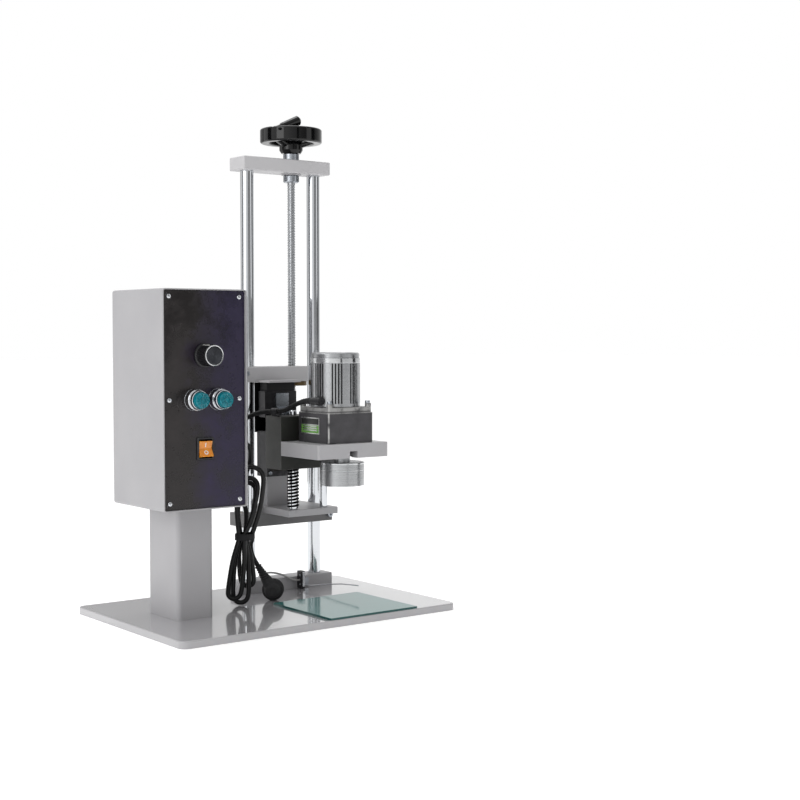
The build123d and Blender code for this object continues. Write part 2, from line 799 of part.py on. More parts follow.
# Folding handle: a turned grip with a flat tongue on the pin, half folded over the wheel
tilt = math.radians(handle_tilt)
tilted_plane = Plane(
    origin=(pivot_x, pivot_y, handle_pin_z),
    x_dir=(math.cos(tilt), 0, math.sin(tilt)),
    z_dir=(0, -1, 0),
)
with BuildPart() as fold_handle:
    with BuildSketch(tilted_plane):
        with BuildLine():
            Polyline(
                (handle_shoulder - handle_end_radius, 0),
                (handle_shoulder - handle_end_radius, tongue_height / 2),
                (handle_shoulder, handle_diameter / 2 - handle_taper),
                (handle_length - handle_end_radius, handle_diameter / 2),
                (handle_length, handle_diameter / 2 - handle_end_radius),
                (handle_length, 0),
                close=True,
            )
        make_face()
    revolve(axis=Axis(tilted_plane.origin, tilted_plane.x_dir))
    with BuildSketch(tilted_plane):
        SlotCenterPoint((handle_shoulder / 2, 0), (handle_shoulder, 0), tongue_height)
    extrude(amount=tongue_thickness / 2, both=True)
    with BuildSketch(tilted_plane):
        Circle(handle_pin_diameter / 2 + shaft_gap)
    extrude(amount=tongue_thickness, both=True, mode=Mode.SUBTRACT)
save(fold_handle.part, "fold_handle")

# Nut plate: the upper plate of the lift, on the left column and on the lead screw
nut_plate_left = column_points[0][0] - nut_plate_margin
nut_plate_right = screw_x + nut_plate_margin
bush_radius = column_diameter / 2 + bush_wall
nut_body_radius = screw_diameter / 2 + nut_wall
with BuildPart() as nut_plate:
    with BuildSketch(Plane.XY.offset(nut_plate_bottom_z)):
        with Locations(((nut_plate_left + nut_plate_right) / 2, column_y)):
            Rectangle(nut_plate_right - nut_plate_left, top_plate_depth)
    extrude(amount=nut_plate_thickness)
    chamfer(nut_plate.faces().sort_by(Axis.Z)[-1].edges(), plate_chamfer)
    with BuildSketch(Plane.XY.offset(nut_plate_bottom_z)):
        with Locations(column_points[0]):
            Circle(bush_radius)
        with Locations((screw_x, column_y)):
            Circle(nut_body_radius)
    extrude(amount=nut_plate_thickness, mode=Mode.SUBTRACT)
save(nut_plate.part, "nut_plate")

# Thin mounting sheet screwed under the nut plate, with a tongue for the rubber stop and the clip
tongue_front_y = solenoid_front_y - tongue_reach
with BuildPart() as nut_sheet:
    with BuildSketch(Plane.XY.offset(nut_sheet_bottom_z)):
        with Locations(((nut_plate_left + nut_plate_right) / 2, column_y)):
            Rectangle(nut_plate_right - nut_plate_left, top_plate_depth)
        with Locations(column_points[0]):
            Circle(bush_radius + sheet_hole_margin, mode=Mode.SUBTRACT)
        with Locations((screw_x, column_y)):
            Circle(nut_body_radius, mode=Mode.SUBTRACT)
        with Locations((solenoid_x, (tongue_front_y + plate_front_y) / 2)):
            Rectangle(solenoid_width, plate_front_y - tongue_front_y)
    extrude(amount=bracket_sheet)
save(nut_sheet.part, "nut_sheet")

# Flanged screw nut, bolted up into the nut plate
with BuildPart() as screw_nut:
    with BuildSketch(Plane.XY.offset(nut_sheet_bottom_z)):
        with Locations((screw_x, column_y)):
            Circle(nut_body_radius)
    extrude(amount=bracket_sheet + nut_plate_thickness)
    with BuildSketch(Plane.XY.offset(nut_sheet_bottom_z)):
        with Locations((screw_x, column_y)):
            Circle(nut_flange_diameter / 2)
    extrude(amount=-nut_flange_thickness)
    with BuildSketch(Plane.XY.offset(nut_sheet_bottom_z - nut_flange_thickness)):
        with Locations((screw_x, column_y)):
            Circle(screw_diameter / 2 + shaft_gap)
    extrude(amount=nut_flange_thickness + bracket_sheet + nut_plate_thickness, mode=Mode.SUBTRACT)
save(screw_nut.part, "screw_nut")

# Clamp plate: the lower plate of the lift, slit at both ends so that screws grip the columns
clamp_end_x = clamp_plate_length / 2
with BuildPart() as clamp_plate:
    with BuildSketch(Plane.XY.offset(clamp_plate_bottom_z)):
        with Locations((head_x, column_y)):
            Rectangle(clamp_plate_length, top_plate_depth)
        with Locations(*column_points):
            Circle(bush_radius, mode=Mode.SUBTRACT)
        with Locations((screw_x, column_y)):
            Circle(screw_diameter / 2 + screw_passage_gap, mode=Mode.SUBTRACT)
        with Locations(
            ((column_points[0][0] + head_x - clamp_end_x) / 2, column_y),
            ((column_points[1][0] + head_x + clamp_end_x) / 2, column_y),
        ):
            Rectangle(clamp_end_x - column_spacing / 2, clamp_slit, mode=Mode.SUBTRACT)
    extrude(amount=clamp_plate_thickness)
save(clamp_plate.part, "clamp_plate")

# Bronze bushes that run on the columns
with BuildPart() as column_bushes:
    with BuildSketch(Plane.XY.offset(clamp_plate_bottom_z)):
        with Locations(*column_points):
            Circle(bush_radius)
            Circle(column_diameter / 2 + shaft_gap, mode=Mode.SUBTRACT)
    extrude(amount=clamp_plate_thickness)
    with BuildSketch(Plane.XY.offset(nut_plate_bottom_z)):
        with Locations(column_points[0]):
            Circle(bush_radius)
            Circle(column_diameter / 2 + shaft_gap, mode=Mode.SUBTRACT)
    extrude(amount=nut_plate_thickness)
save(column_bushes.part, "column_bushes")

# Web: the upright bar that joins the clamp plate's guide plate to the nut plate's sheet
with BuildPart() as lift_web:
    with BuildSketch(Plane.XY.offset(guide_plate_top_z)):
        with Locations((head_x + web_left + web_width / 2, (web_front_y + web_back_y) / 2)):
            Rectangle(web_width, web_thickness)
    extrude(amount=nut_sheet_bottom_z - guide_plate_top_z)
save(lift_web.part, "lift_web")

# Guide plate: lies on the clamp plate, reaches forward and holds the guide rods
with BuildPart() as guide_plate:
    with BuildSketch(Plane.XY.offset(guide_plate_bottom_z)):
        with Locations((head_x, (guide_front_y + plate_back_y) / 2)):
            Rectangle(guide_plate_width, plate_back_y - guide_front_y)
    extrude(amount=guide_plate_thickness)
    chamfer(guide_plate.faces().sort_by(Axis.Z)[-1].edges(), plate_chamfer / 2)
    with BuildSketch(Plane.XY.offset(guide_plate_bottom_z)):
        with Locations(*rod_points):
            Circle(rod_diameter / 2)
        with Locations((screw_x, column_y)):
            Circle(screw_diameter / 2 + screw_passage_gap)
    extrude(amount=guide_plate_thickness, mode=Mode.SUBTRACT)
save(guide_plate.part, "guide_plate")

# Two guide rods for the head
with BuildPart() as guide_rods:
    with BuildSketch(Plane.XY.offset(guide_plate_bottom_z)):
        with Locations(*rod_points):
            Circle(rod_diameter / 2)
    extrude(amount=rod_top_z - guide_plate_bottom_z)
    chamfer(guide_rods.faces().group_by(Axis.Z)[-1].edges(), rod_chamfer)
save(guide_rods.part, "guide_rods")

# Clamp screws with cap heads, two in the front of the clamp plate
clamp_mid_z = clamp_plate_bottom_z + clamp_plate_thickness / 2
with BuildPart() as clamp_screws:
    for end in (-1, 1):
        clamp_screw_x = head_x + end * (clamp_end_x - clamp_screw_inset)
        with BuildSketch(facing_front(plate_front_y, clamp_screw_x, clamp_mid_z)):
            Circle(clamp_screw_head_radius)
        extrude(amount=clamp_screw_head_height)
        with BuildSketch(facing_front(plate_front_y - clamp_screw_head_height, clamp_screw_x, clamp_mid_z)):
            RegularPolygon(clamp_screw_key_radius, 6)
        extrude(amount=-clamp_screw_key_depth, mode=Mode.SUBTRACT)
save(clamp_screws.part, "clamp_screws")

# Return spring on the left guide rod, between the guide plate and the carriage
spring_length = carriage_bottom_z - guide_plate_top_z - 2 * turning_gap
spring_pitch = (spring_length - spring_wire) / spring_coils
spring_radius = (spring_diameter - spring_wire) / 2
spring_bottom_z = guide_plate_top_z + turning_gap + spring_wire / 2
with BuildPart() as return_spring:
    with BuildLine():
        coil_line = Helix(
            spring_pitch,
            spring_pitch * spring_coils,
            spring_radius,
            center=(rod_points[0][0], rod_points[0][1], spring_bottom_z),
        )
    with BuildSketch(Plane(origin=coil_line @ 0, z_dir=coil_line % 0)):
        Circle(spring_wire / 2)
    sweep(path=coil_line, is_frenet=True)
save(return_spring.part, "return_spring")

# Solenoid: a laminated frame on the web, open at the top for the armature leg
coil_bore_width = armature_leg_width + 2 * turning_gap
armature_depth = solenoid_depth - 2 * armature_side_margin
coil_height = solenoid_height - 2 * core_wall
with BuildPart() as solenoid_frame:
    with BuildSketch(facing_front(solenoid_y + solenoid_depth / 2, solenoid_x, solenoid_bottom_z)):
        with Locations((0, solenoid_height / 2)):
            Rectangle(solenoid_width, solenoid_height)
            Rectangle(coil_width, coil_height, mode=Mode.SUBTRACT)
        with Locations((0, solenoid_height - core_wall / 2)):
            Rectangle(coil_bore_width, core_wall + seat_gap, mode=Mode.SUBTRACT)
    extrude(amount=solenoid_depth)
save(solenoid_frame.part, "solenoid_frame")

# Solenoid coil: a moulded winding with a slot through it for the armature leg
with BuildPart() as solenoid_coil:
    with BuildSketch(Plane.XY.offset(solenoid_bottom_z + core_wall)):
        with Locations((solenoid_x, solenoid_y - coil_bulge / 2)):
            RectangleRounded(coil_width, solenoid_depth + coil_bulge, coil_corner_radius)
        with Locations((solenoid_x, solenoid_y)):
            Rectangle(coil_bore_width, armature_depth + 2 * turning_gap, mode=Mode.SUBTRACT)
    extrude(amount=coil_height)
save(solenoid_coil.part, "solenoid_coil")

# Armature: a laminated T that the coil pulls down with the head
with BuildPart() as armature:
    with BuildSketch(facing_front(solenoid_y + armature_depth / 2, solenoid_x, armature_bottom_z)):
        with Locations((0, armature_height / 2)):
            Rectangle(solenoid_width, armature_height)
        with Locations((0, -armature_leg_reach / 2)):
            Rectangle(armature_leg_width, armature_leg_reach)
        with Locations((0, armature_height - armature_pin_drop)):
            Circle(armature_pin_radius, mode=Mode.SUBTRACT)
    extrude(amount=armature_depth)
save(armature.part, "armature")

# Rubber stop under the sheet: the armature rests against it when the head is up
with BuildPart() as rubber_stop:
    with BuildSketch(Plane.XY.offset(armature_top_z + turning_gap)):
        with Locations((solenoid_x, solenoid_y)):
            Rectangle(solenoid_width - 2 * stop_margin, armature_depth)
    extrude(amount=nut_sheet_bottom_z - armature_top_z - turning_gap)
save(rubber_stop.part, "rubber_stop")

# Carriage: a milled block with bores for the guide bushes
guide_bush_radius = rod_diameter / 2 + bush_wall
with BuildPart() as carriage:
    with BuildSketch(Plane.XY.offset(carriage_bottom_z)):
        with Locations((head_x, rod_y)):
            Rectangle(carriage_width, carriage_depth)
        with Locations(*rod_points):
            Circle(guide_bush_radius, mode=Mode.SUBTRACT)
    extrude(amount=carriage_height)
    chamfer(carriage.faces().sort_by(Axis.Z)[-1].outer_wire().edges(), plate_chamfer)
save(carriage.part, "carriage")

# Guide bushes pressed in the carriage
with BuildPart() as guide_bushes:
    with BuildSketch(Plane.XY.offset(carriage_bottom_z)):
        with Locations(*rod_points):
            Circle(guide_bush_radius)
            Circle(rod_diameter / 2 + shaft_gap, mode=Mode.SUBTRACT)
    extrude(amount=carriage_height)
save(guide_bushes.part, "guide_bushes")

# Link bracket: a bent strap screwed on the carriage, pinned to the armature
link_front_y = rod_y + rod_diameter / 2 + link_rod_gap
link_back_y = solenoid_y - armature_depth / 2
with BuildPart() as link_bracket:
    with BuildSketch(Plane.YZ.offset(solenoid_x - link_width / 2)):
        with BuildLine():
            Polyline(
                (link_front_y, carriage_top_z),
                (carriage_back_y, carriage_top_z),
                (link_back_y, carriage_top_z + link_knee_drop),
                (link_back_y, armature_top_z - link_top_drop),
                (link_back_y - link_thickness, armature_top_z - link_top_drop),
                (link_back_y - link_thickness, carriage_top_z + 2 * link_knee_drop),
                (link_front_y, carriage_top_z + link_thickness),
                close=True,
            )
        make_face()
    extrude(amount=link_width)
    pin_back_y = link_back_y + armature_depth + link_pin_proud
    with BuildSketch(facing_front(pin_back_y, solenoid_x, armature_top_z - armature_pin_drop)):
        Circle(armature_pin_radius)
    extrude(amount=armature_depth + link_pin_proud)
save(link_bracket.part, "link_bracket")

# Head plate: carries the gearbox, with a bore for the output shaft and a notch to reach its screw
with BuildPart() as head_plate:
    with BuildSketch(Plane.XY.offset(head_plate_bottom_z)):
        with Locations((head_x, (head_front_y + carriage_front_y) / 2)):
            Rectangle(carriage_width, head_plate_depth)
        with Locations((head_x, chuck_y)):
            Circle(shaft_window_radius, mode=Mode.SUBTRACT)
    extrude(amount=head_plate_thickness)
    chamfer(head_plate.edges().filter_by(Axis.Z).group_by(Axis.Y)[0], head_plate_edge)
    with BuildSketch(Plane.XY.offset(head_plate_bottom_z)):
        with Locations((head_x, (head_front_y + chuck_y) / 2)):
            Rectangle(notch_width, chuck_y - head_front_y)
    extrude(amount=notch_height, mode=Mode.SUBTRACT)
save(head_plate.part, "head_plate")

# Gearbox case: a square cast housing with bolt pillars at its corners and a motor flange
pillar_spacing = gearbox_size - 2 * pillar_radius
flange_size = gearbox_size - 2 * gearbox_flange_step
with BuildPart() as gearbox_case:
    with BuildSketch(Plane.XY.offset(head_plate_top_z)):
        with Locations((head_x, gearbox_y)):
            RectangleRounded(gearbox_size, gearbox_size, gearbox_corner_radius)
    extrude(amount=gearbox_height - gearbox_flange_height)
    with BuildSketch(Plane.XY.offset(gearbox_top_z - gearbox_flange_height)):
        with Locations((head_x, gearbox_y)):
            RectangleRounded(flange_size, flange_size, gearbox_corner_radius)
    extrude(amount=gearbox_flange_height)
    with BuildSketch(Plane.XY.offset(gearbox_top_z)):
        with Locations((head_x, gearbox_y)):
            with GridLocations(pillar_spacing, pillar_spacing, 2, 2):
                Circle(pillar_cap_radius)
    extrude(amount=pillar_cap_height)
    with BuildSketch(Plane.XY.offset(head_plate_top_z)):
        with Locations((head_x, chuck_y)):
            Circle(gearbox_spigot_radius)
    extrude(amount=-gearbox_spigot_height)
    with BuildSketch(Plane.XY.offset(head_plate_top_z - gearbox_spigot_height)):
        with Locations((head_x, chuck_y)):
            Circle(shaft_diameter / 2 + shaft_gap)
    extrude(amount=gearbox_spigot_height + gearbox_bore_depth, mode=Mode.SUBTRACT)
save(gearbox_case.part, "gearbox_case")

# Motor body: an extruded aluminium shell with groups of cooling grooves between smooth lands
motor_radius = motor_diameter / 2
groove_step = 360.0 / motor_groove_groups / (motor_groove_count + 3)
motor_body_height = motor_height - motor_cap_height
with BuildPart() as motor_body:
    with BuildSketch(Plane.XY.offset(gearbox_top_z)):
        with Locations((head_x, gearbox_y)):
            Circle(motor_radius)
            for group in range(motor_groove_groups):
                for groove in range(motor_groove_count):
                    groove_angle = group * 360.0 / motor_groove_groups + groove * groove_step
                    with PolarLocations(motor_radius, 1, start_angle=groove_angle):
                        Rectangle(2 * motor_groove_depth, motor_groove_width, mode=Mode.SUBTRACT)
    extrude(amount=motor_body_height)
save(motor_body.part, "motor_body")

# Motor end cap with a shallow raised centre
with BuildPart() as motor_cap:
    with BuildSketch(Plane.XY.offset(gearbox_top_z + motor_body_height)):
        with Locations((head_x, gearbox_y)):
            Circle(motor_radius)
    extrude(amount=motor_cap_height - motor_cap_step)
    fillet(motor_cap.faces().sort_by(Axis.Z)[-1].edges(), motor_cap_edge)
    with BuildSketch(Plane.XY.offset(gearbox_top_z + motor_height - motor_cap_step)):
        with Locations((head_x, gearbox_y)):
            Circle(motor_radius * motor_cap_step_share)
    extrude(amount=motor_cap_step)
save(motor_cap.part, "motor_cap")

# Output shaft of the gearbox
cup_top_z = cup_bottom_z + cup_height
cup_floor_z = cup_top_z - cup_wall
shaft_bottom_z = cup_floor_z - shaft_below_floor
with BuildPart() as output_shaft:
    with BuildSketch(Plane.XY.offset(shaft_bottom_z)):
        with Locations((head_x, chuck_y)):
            Circle(shaft_diameter / 2)
    extrude(amount=head_plate_top_z + shaft_in_gearbox - shaft_bottom_z)
save(output_shaft.part, "output_shaft")

# Capping cup: a turned aluminium cup with its boss, clamped on the shaft by a set screw
cup_radius = cup_diameter / 2
boss_top_z = cup_top_z + cup_boss_height
with BuildPart() as capping_cup:
    with BuildSketch(Plane.XZ.offset(-chuck_y)):
        with BuildLine():
            Polyline(
                (head_x + shaft_diameter / 2, boss_top_z),
                (head_x + cup_boss_diameter / 2, boss_top_z),
                (head_x + cup_boss_diameter / 2, cup_top_z),
                (head_x + cup_radius - cup_edge, cup_top_z),
                (head_x + cup_radius, cup_top_z - cup_edge),
                (head_x + cup_radius, cup_bottom_z + cup_lip_edge),
                (head_x + cup_radius - cup_lip_edge, cup_bottom_z),
                (head_x + cup_radius - cup_wall, cup_bottom_z),
                (head_x + cup_radius - cup_wall, cup_floor_z),
                (head_x + shaft_diameter / 2, cup_floor_z),
                close=True,
            )
        make_face()
    revolve(axis=Axis((head_x, chuck_y, 0), (0, 0, 1)))
save(capping_cup.part, "capping_cup")

# Rubber cone in the cup, which grips the bottle cap
cone_outer_radius = cup_radius - cup_wall
with BuildPart() as cone_insert:
    with BuildSketch(Plane.XZ.offset(-chuck_y)):
        with BuildLine():
            Polyline(
                (head_x + cone_small_radius, cup_floor_z),
                (head_x + cone_outer_radius, cup_floor_z),
                (head_x + cone_outer_radius, cup_bottom_z + cone_lip_rise),
                (head_x + cone_outer_radius - cone_lip, cup_bottom_z + cone_lip_rise),
                close=True,
            )
        make_face()
    revolve(axis=Axis((head_x, chuck_y, 0), (0, 0, 1)))
save(cone_insert.part, "cone_insert")

# Bottle sensor: a small snap switch on a bracket in front of the foot block
with BuildPart() as micro_switch:
    with BuildSketch(Plane.XY.offset(base_thickness + switch_lift)):
        with Locations((switch_x, switch_back_y - switch_depth / 2)):
            Rectangle(switch_width, switch_depth)
    extrude(amount=switch_height)
    fillet(micro_switch.edges().filter_by(Axis.X), switch_edge_radius)
save(micro_switch.part, "micro_switch")

with BuildPart() as switch_bracket:
    with BuildSketch(Plane.XY.offset(base_thickness + bracket_lift)):
        with Locations((switch_x + (switch_width + bracket_thickness) / 2, switch_back_y - bracket_depth / 2)):
            Rectangle(bracket_thickness, bracket_depth)
        with Locations((switch_x + (switch_width + bracket_foot) / 2, switch_back_y - bracket_thickness / 2)):
            Rectangle(bracket_foot, bracket_thickness)
    extrude(amount=bracket_height)
save(switch_bracket.part, "switch_bracket")

# Feeler: a spring-steel lever on the front of the switch with a wire that the bottle touches
lever_y = switch_back_y - switch_depth - lever_gap - lever_thickness / 2
lever_top_z = base_thickness + switch_height - lever_gap
feeler_points = [
    (switch_x, lever_y, base_thickness + 6.0),
    (switch_x + 1.0, lever_y - 16.0, base_thickness + 7.5),
    (switch_x + 7.0, lever_y - 44.0, base_thickness + 12.5),
    (switch_x + 14.0, lever_y - 82.0, base_thickness + 17.5),
    (switch_x + 18.0, lever_y - 121.0, base_thickness + 20.0),
]
with BuildPart() as feeler:
    with BuildSketch(Plane.XY.offset(base_thickness + lever_foot_lift)):
        with Locations((switch_x, lever_y)):
            Rectangle(lever_width, lever_thickness)
    extrude(amount=lever_top_z - base_thickness - lever_foot_lift)
    with BuildSketch(Plane.YZ.offset(switch_x - lever_width / 2)):
        with Locations((lever_y + lever_pivot_back, lever_top_z)):
            Circle(lever_pivot_radius)
    extrude(amount=lever_width)
    with BuildLine():
        wire_path = FilletPolyline(*feeler_points, radius=wire_bend_radius)
    with BuildSketch(Plane(origin=wire_path @ 0, z_dir=wire_path % 0)):
        Circle(feeler_wire / 2)
    sweep(path=wire_path)
save(feeler.part, "feeler")

# Clear pad under the bottle
with BuildPart() as bottle_pad:
    with BuildSketch(Plane.XY.offset(base_thickness)):
        with Locations((head_x + pad_offset_x, pad_front_y + pad_depth / 2)):
            Rectangle(pad_width, pad_depth)
    extrude(amount=pad_thickness)
save(bottle_pad.part, "bottle_pad")


def corner_radii(points):
    """Each corner's radius: 0.45 of its shorter run over the tangent of half its turn."""
    radii = []
    for before, corner, after in zip(points, points[1:], points[2:]):
        run_in = Vector(*corner) - Vector(*before)
        run_out = Vector(*after) - Vector(*corner)
        half_turn = math.radians(run_in.get_angle(run_out)) / 2
        radii.append(0.45 * min(run_in.length, run_out.length) / math.tan(half_turn))
    return radii


def cord_tube(points, diameter, name):
    """A cord's plain tube: straight runs joined by tangent arcs."""
    radii = corner_radii(points)
    print(name, "radii", [round(radius) for radius in radii])
    with BuildPart() as tube:
        with BuildLine():
            path = FilletPolyline(*points, radius=radii)
        with BuildSketch(Plane(origin=path @ 0, z_dir=path % 0)):
            Circle(diameter / 2)
        sweep(path=path)
    ideal = math.pi * diameter**2 / 4 * path.length
    print(name, "length", round(path.length), "volume ratio", round(tube.part.volume / ideal, 4))
    save(tube.part, name)
    return tube.part


# Mains lead: from the lower gland down to the tied hank
tie_point = Vector(-33.5, 15.5, 111.0)
toward_viewer = Vector(-0.607, -0.795, 0)
hank_right = Vector(0.795, -0.607, 0)
mains_cord_points = [
    (-59.5, 43.5, 180.0),
    (-41.5, 43.5, 180.0),
    (-24.5, 39.5, 170.0),
    (-16.5, 33.5, 152.0),
    (-19.5, 26.5, 132.0),
    (-30.5, 18.0, 115.0),
]
mains_cord_tube = cord_tube(mains_cord_points, cord_diameter, "mains_cord")

# Plug: a round moulded body with a tapered neck; its three pins point away from the viewer
plug_centre = Vector(21.5, 20.5, base_thickness + plug_diameter / 2 + turning_gap)
neck_direction = hank_right * -0.52 + Vector(0, 0, 0.854)
neck_start = plug_centre + neck_direction * plug_neck_length
neck_leave = neck_start + neck_direction * lead_leave
with BuildPart() as mains_plug:
    with BuildSketch(Plane(origin=plug_centre, x_dir=neck_direction, z_dir=toward_viewer)):
        Circle(plug_diameter / 2)
    extrude(amount=plug_thickness / 2, both=True)
    fillet(mains_plug.edges().filter_by(GeomType.CIRCLE), plug_edge_radius)
    with BuildSketch(Plane(origin=plug_centre, x_dir=toward_viewer, z_dir=neck_direction)):
        RectangleRounded(
            plug_thickness - plug_neck_inset,
            plug_diameter - plug_shoulder_inset,
            plug_shoulder_radius,
        )
    with BuildSketch(Plane(origin=neck_start, x_dir=toward_viewer, z_dir=neck_direction)):
        Circle(cord_diameter / 2 + plug_neck_wall)
    loft()
    with BuildSketch(Plane(origin=plug_centre, x_dir=neck_direction, z_dir=toward_viewer * -1)):
        with Locations(*plug_pin_places):
            Rectangle(plug_pin_width, plug_pin_thickness)
    extrude(amount=plug_thickness / 2 + plug_pin_length)
save(mains_plug.part, "mains_plug")

plug_cord_points = [
    (neck_start.X, neck_start.Y, neck_start.Z),
    (neck_leave.X, neck_leave.Y, neck_leave.Z),
    (-6.0, 36.0, 84.0),
    (-19.0, 27.0, 101.0),
    (tie_point.X, tie_point.Y, tie_point.Z),
]
plug_cord_tube = cord_tube(plug_cord_points, cord_diameter, "plug_cord")

# Hank: the lead's spare length folded in loops and tied, as one solid of its outer shape
hank_lower_length = tie_point.Z - base_thickness + hank_overlap / 2 - turning_gap
with BuildPart() as mains_hank:
    with BuildSketch(Plane(origin=tie_point, x_dir=hank_right, z_dir=toward_viewer)):
        with Locations(Location((0, 0, 0), (0, 0, hank_upper_lean))):
            with Locations((0, hank_upper_length / 2 - hank_overlap)):
                Ellipse(hank_upper_half_width, hank_upper_length / 2)
        with Locations((hank_lower_shift, (hank_overlap - hank_lower_length) / 2)):
            Ellipse(hank_lower_half_width, hank_lower_length / 2)
    extrude(amount=hank_thickness / 2, both=True)
    add(mains_cord_tube, mode=Mode.SUBTRACT)
    add(plug_cord_tube, mode=Mode.SUBTRACT)
save(mains_hank.part, "mains_hank")

# Motor lead: from the upper gland in a slack loop to the clip on the carriage
clip_point = Vector(
    head_x - carriage_width / 2 - clip_overhang,
    carriage_front_y + clip_back,
    carriage_top_z + clip_height,
)
clip_direction = Vector(-0.6441, 0.7649, 0)
clip_far = clip_point + clip_direction * (clip_length / 2)
clip_far_run = clip_point + clip_direction * clip_far_lead
slack_lead_points = [
    (-59.5, -6.5, 250.0),
    (-44.0, -6.5, 250.0),
    (-29.0, -1.0, 241.0),
    (-22.0, 10.0, 221.0),
    (-22.0, 24.0, 199.0),
    (-27.0, 44.0, 184.0),
    (-34.0, 68.0, 182.0),
    (-38.0, 90.0, 195.0),
    (-36.0, 101.0, 219.0),
    (-28.0, 97.0, 244.0),
    (-16.0, 80.0, 265.0),
    (-2.0, 56.0, 279.5),
    (clip_far_run.X, clip_far_run.Y, clip_far_run.Z),
    (clip_far.X, clip_far.Y, clip_far.Z),
]
cord_tube(slack_lead_points, cord_diameter, "motor_lead_slack")

# Motor lead: through the clip and over the head to the elbow at the foot of the motor
elbow_turn = math.radians(elbow_angle)
elbow_outward = Vector(math.cos(elbow_turn), math.sin(elbow_turn), 0)
elbow_point = Vector(head_x, gearbox_y, gearbox_top_z + elbow_rise) + elbow_outward * (motor_radius + elbow_reach)
sleeve_direction = Vector(-0.2, 0.98, 0)
sleeve_end = elbow_point + sleeve_direction * sleeve_length
sleeve_leave = sleeve_end + sleeve_direction * lead_leave
clip_near_run = clip_point - clip_direction * clip_near_lead
head_lead_points = [
    (sleeve_end.X, sleeve_end.Y, sleeve_end.Z),
    (sleeve_leave.X, sleeve_leave.Y, sleeve_leave.Z),
    (45.5, -15.0, 303.5),
    (41.0, -2.5, 298.0),
    (clip_near_run.X, clip_near_run.Y, clip_near_run.Z),
    (clip_far.X, clip_far.Y, clip_far.Z),
]
cord_tube(head_lead_points, cord_diameter, "motor_lead_head")

# Elbow grommet where the lead enters the foot of the motor
with BuildPart() as motor_gland:
    with BuildSketch(Plane(origin=elbow_point, z_dir=elbow_outward)):
        Circle(elbow_diameter / 2)
    extrude(amount=-motor_radius / 2)
    with BuildSketch(Plane(origin=elbow_point - sleeve_direction * sleeve_root, z_dir=sleeve_direction)):
        Circle(sleeve_diameter / 2)
    extrude(amount=sleeve_root + sleeve_length, taper=sleeve_taper)
    with BuildSketch(Plane.XY.offset(gearbox_top_z)):
        with Locations((head_x, gearbox_y)):
            Circle(motor_radius)
    extrude(amount=motor_height, mode=Mode.SUBTRACT)
save(motor_gland.part, "motor_gland")

# Clip: a moulded P-clip screwed on the carriage, closed round the motor lead
clip_ring_radius = cord_diameter / 2 + clip_wall
with BuildPart() as lead_clip:
    with BuildSketch(Plane(origin=clip_point - clip_direction * (clip_length / 2), z_dir=clip_direction)):
        Circle(clip_ring_radius)
    extrude(amount=clip_length)
    with BuildSketch(Plane(origin=(clip_point.X, clip_point.Y, carriage_top_z), x_dir=clip_direction)):
        with Locations((0, -clip_foot_length / 2)):
            Rectangle(clip_length, clip_foot_length)
    extrude(amount=clip_height - cord_diameter / 2)
    with BuildSketch(Plane(origin=clip_point - clip_direction * clip_length, z_dir=clip_direction)):
        Circle(cord_diameter / 2 + seat_gap)
    extrude(amount=2 * clip_length, mode=Mode.SUBTRACT)
save(lead_clip.part, "lead_clip")

# Switch lead: from the snap switch over the foot block and down through the base plate
switch_left_x = switch_x - switch_width / 2
switch_lead_z = base_thickness + switch_height / 2
switch_lead_points = [
    (switch_left_x, switch_back_y - 7.0, switch_lead_z),
    (switch_left_x - 8.0, switch_back_y - 7.0, switch_lead_z),
    (switch_left_x - 17.0, switch_back_y - 5.0, 27.0),
    (switch_left_x - 26.0, switch_back_y + 1.0, 33.0),
    (switch_left_x - 33.0, switch_back_y + 11.0, 35.5),
    (switch_left_x - 39.0, switch_back_y + 23.0, 35.0),
    (switch_left_x - 43.5, switch_back_y + 34.0, 31.0),
    (lead_hole_x + 0.6, lead_hole_y - 2.5, 24.0),
    (lead_hole_x, lead_hole_y, base_thickness + 5.0),
    (lead_hole_x, lead_hole_y, base_thickness / 2),
]
cord_tube(switch_lead_points, switch_lead_diameter, "switch_lead")
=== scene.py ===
import json
import math

import bmesh
import bpy
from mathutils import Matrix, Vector

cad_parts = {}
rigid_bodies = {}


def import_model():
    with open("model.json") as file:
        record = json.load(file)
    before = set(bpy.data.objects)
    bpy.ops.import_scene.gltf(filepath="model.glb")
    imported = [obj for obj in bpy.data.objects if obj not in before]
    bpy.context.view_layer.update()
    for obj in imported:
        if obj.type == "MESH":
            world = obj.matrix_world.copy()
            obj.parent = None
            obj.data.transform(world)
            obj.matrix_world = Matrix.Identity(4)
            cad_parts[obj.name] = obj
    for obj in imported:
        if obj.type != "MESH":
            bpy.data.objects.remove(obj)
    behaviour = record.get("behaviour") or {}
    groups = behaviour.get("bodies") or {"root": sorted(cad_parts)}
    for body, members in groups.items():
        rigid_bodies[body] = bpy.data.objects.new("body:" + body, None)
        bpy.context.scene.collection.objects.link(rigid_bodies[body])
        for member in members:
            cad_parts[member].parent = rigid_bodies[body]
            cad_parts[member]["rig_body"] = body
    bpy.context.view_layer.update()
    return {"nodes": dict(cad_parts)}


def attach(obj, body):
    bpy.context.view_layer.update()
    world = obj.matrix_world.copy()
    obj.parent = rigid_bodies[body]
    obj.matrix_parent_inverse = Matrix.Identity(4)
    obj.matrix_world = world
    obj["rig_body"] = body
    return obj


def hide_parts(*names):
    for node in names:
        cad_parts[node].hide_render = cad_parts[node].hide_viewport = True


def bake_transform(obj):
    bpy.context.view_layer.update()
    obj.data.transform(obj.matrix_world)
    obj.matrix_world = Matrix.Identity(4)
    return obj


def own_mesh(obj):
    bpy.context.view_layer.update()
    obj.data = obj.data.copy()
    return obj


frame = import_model()
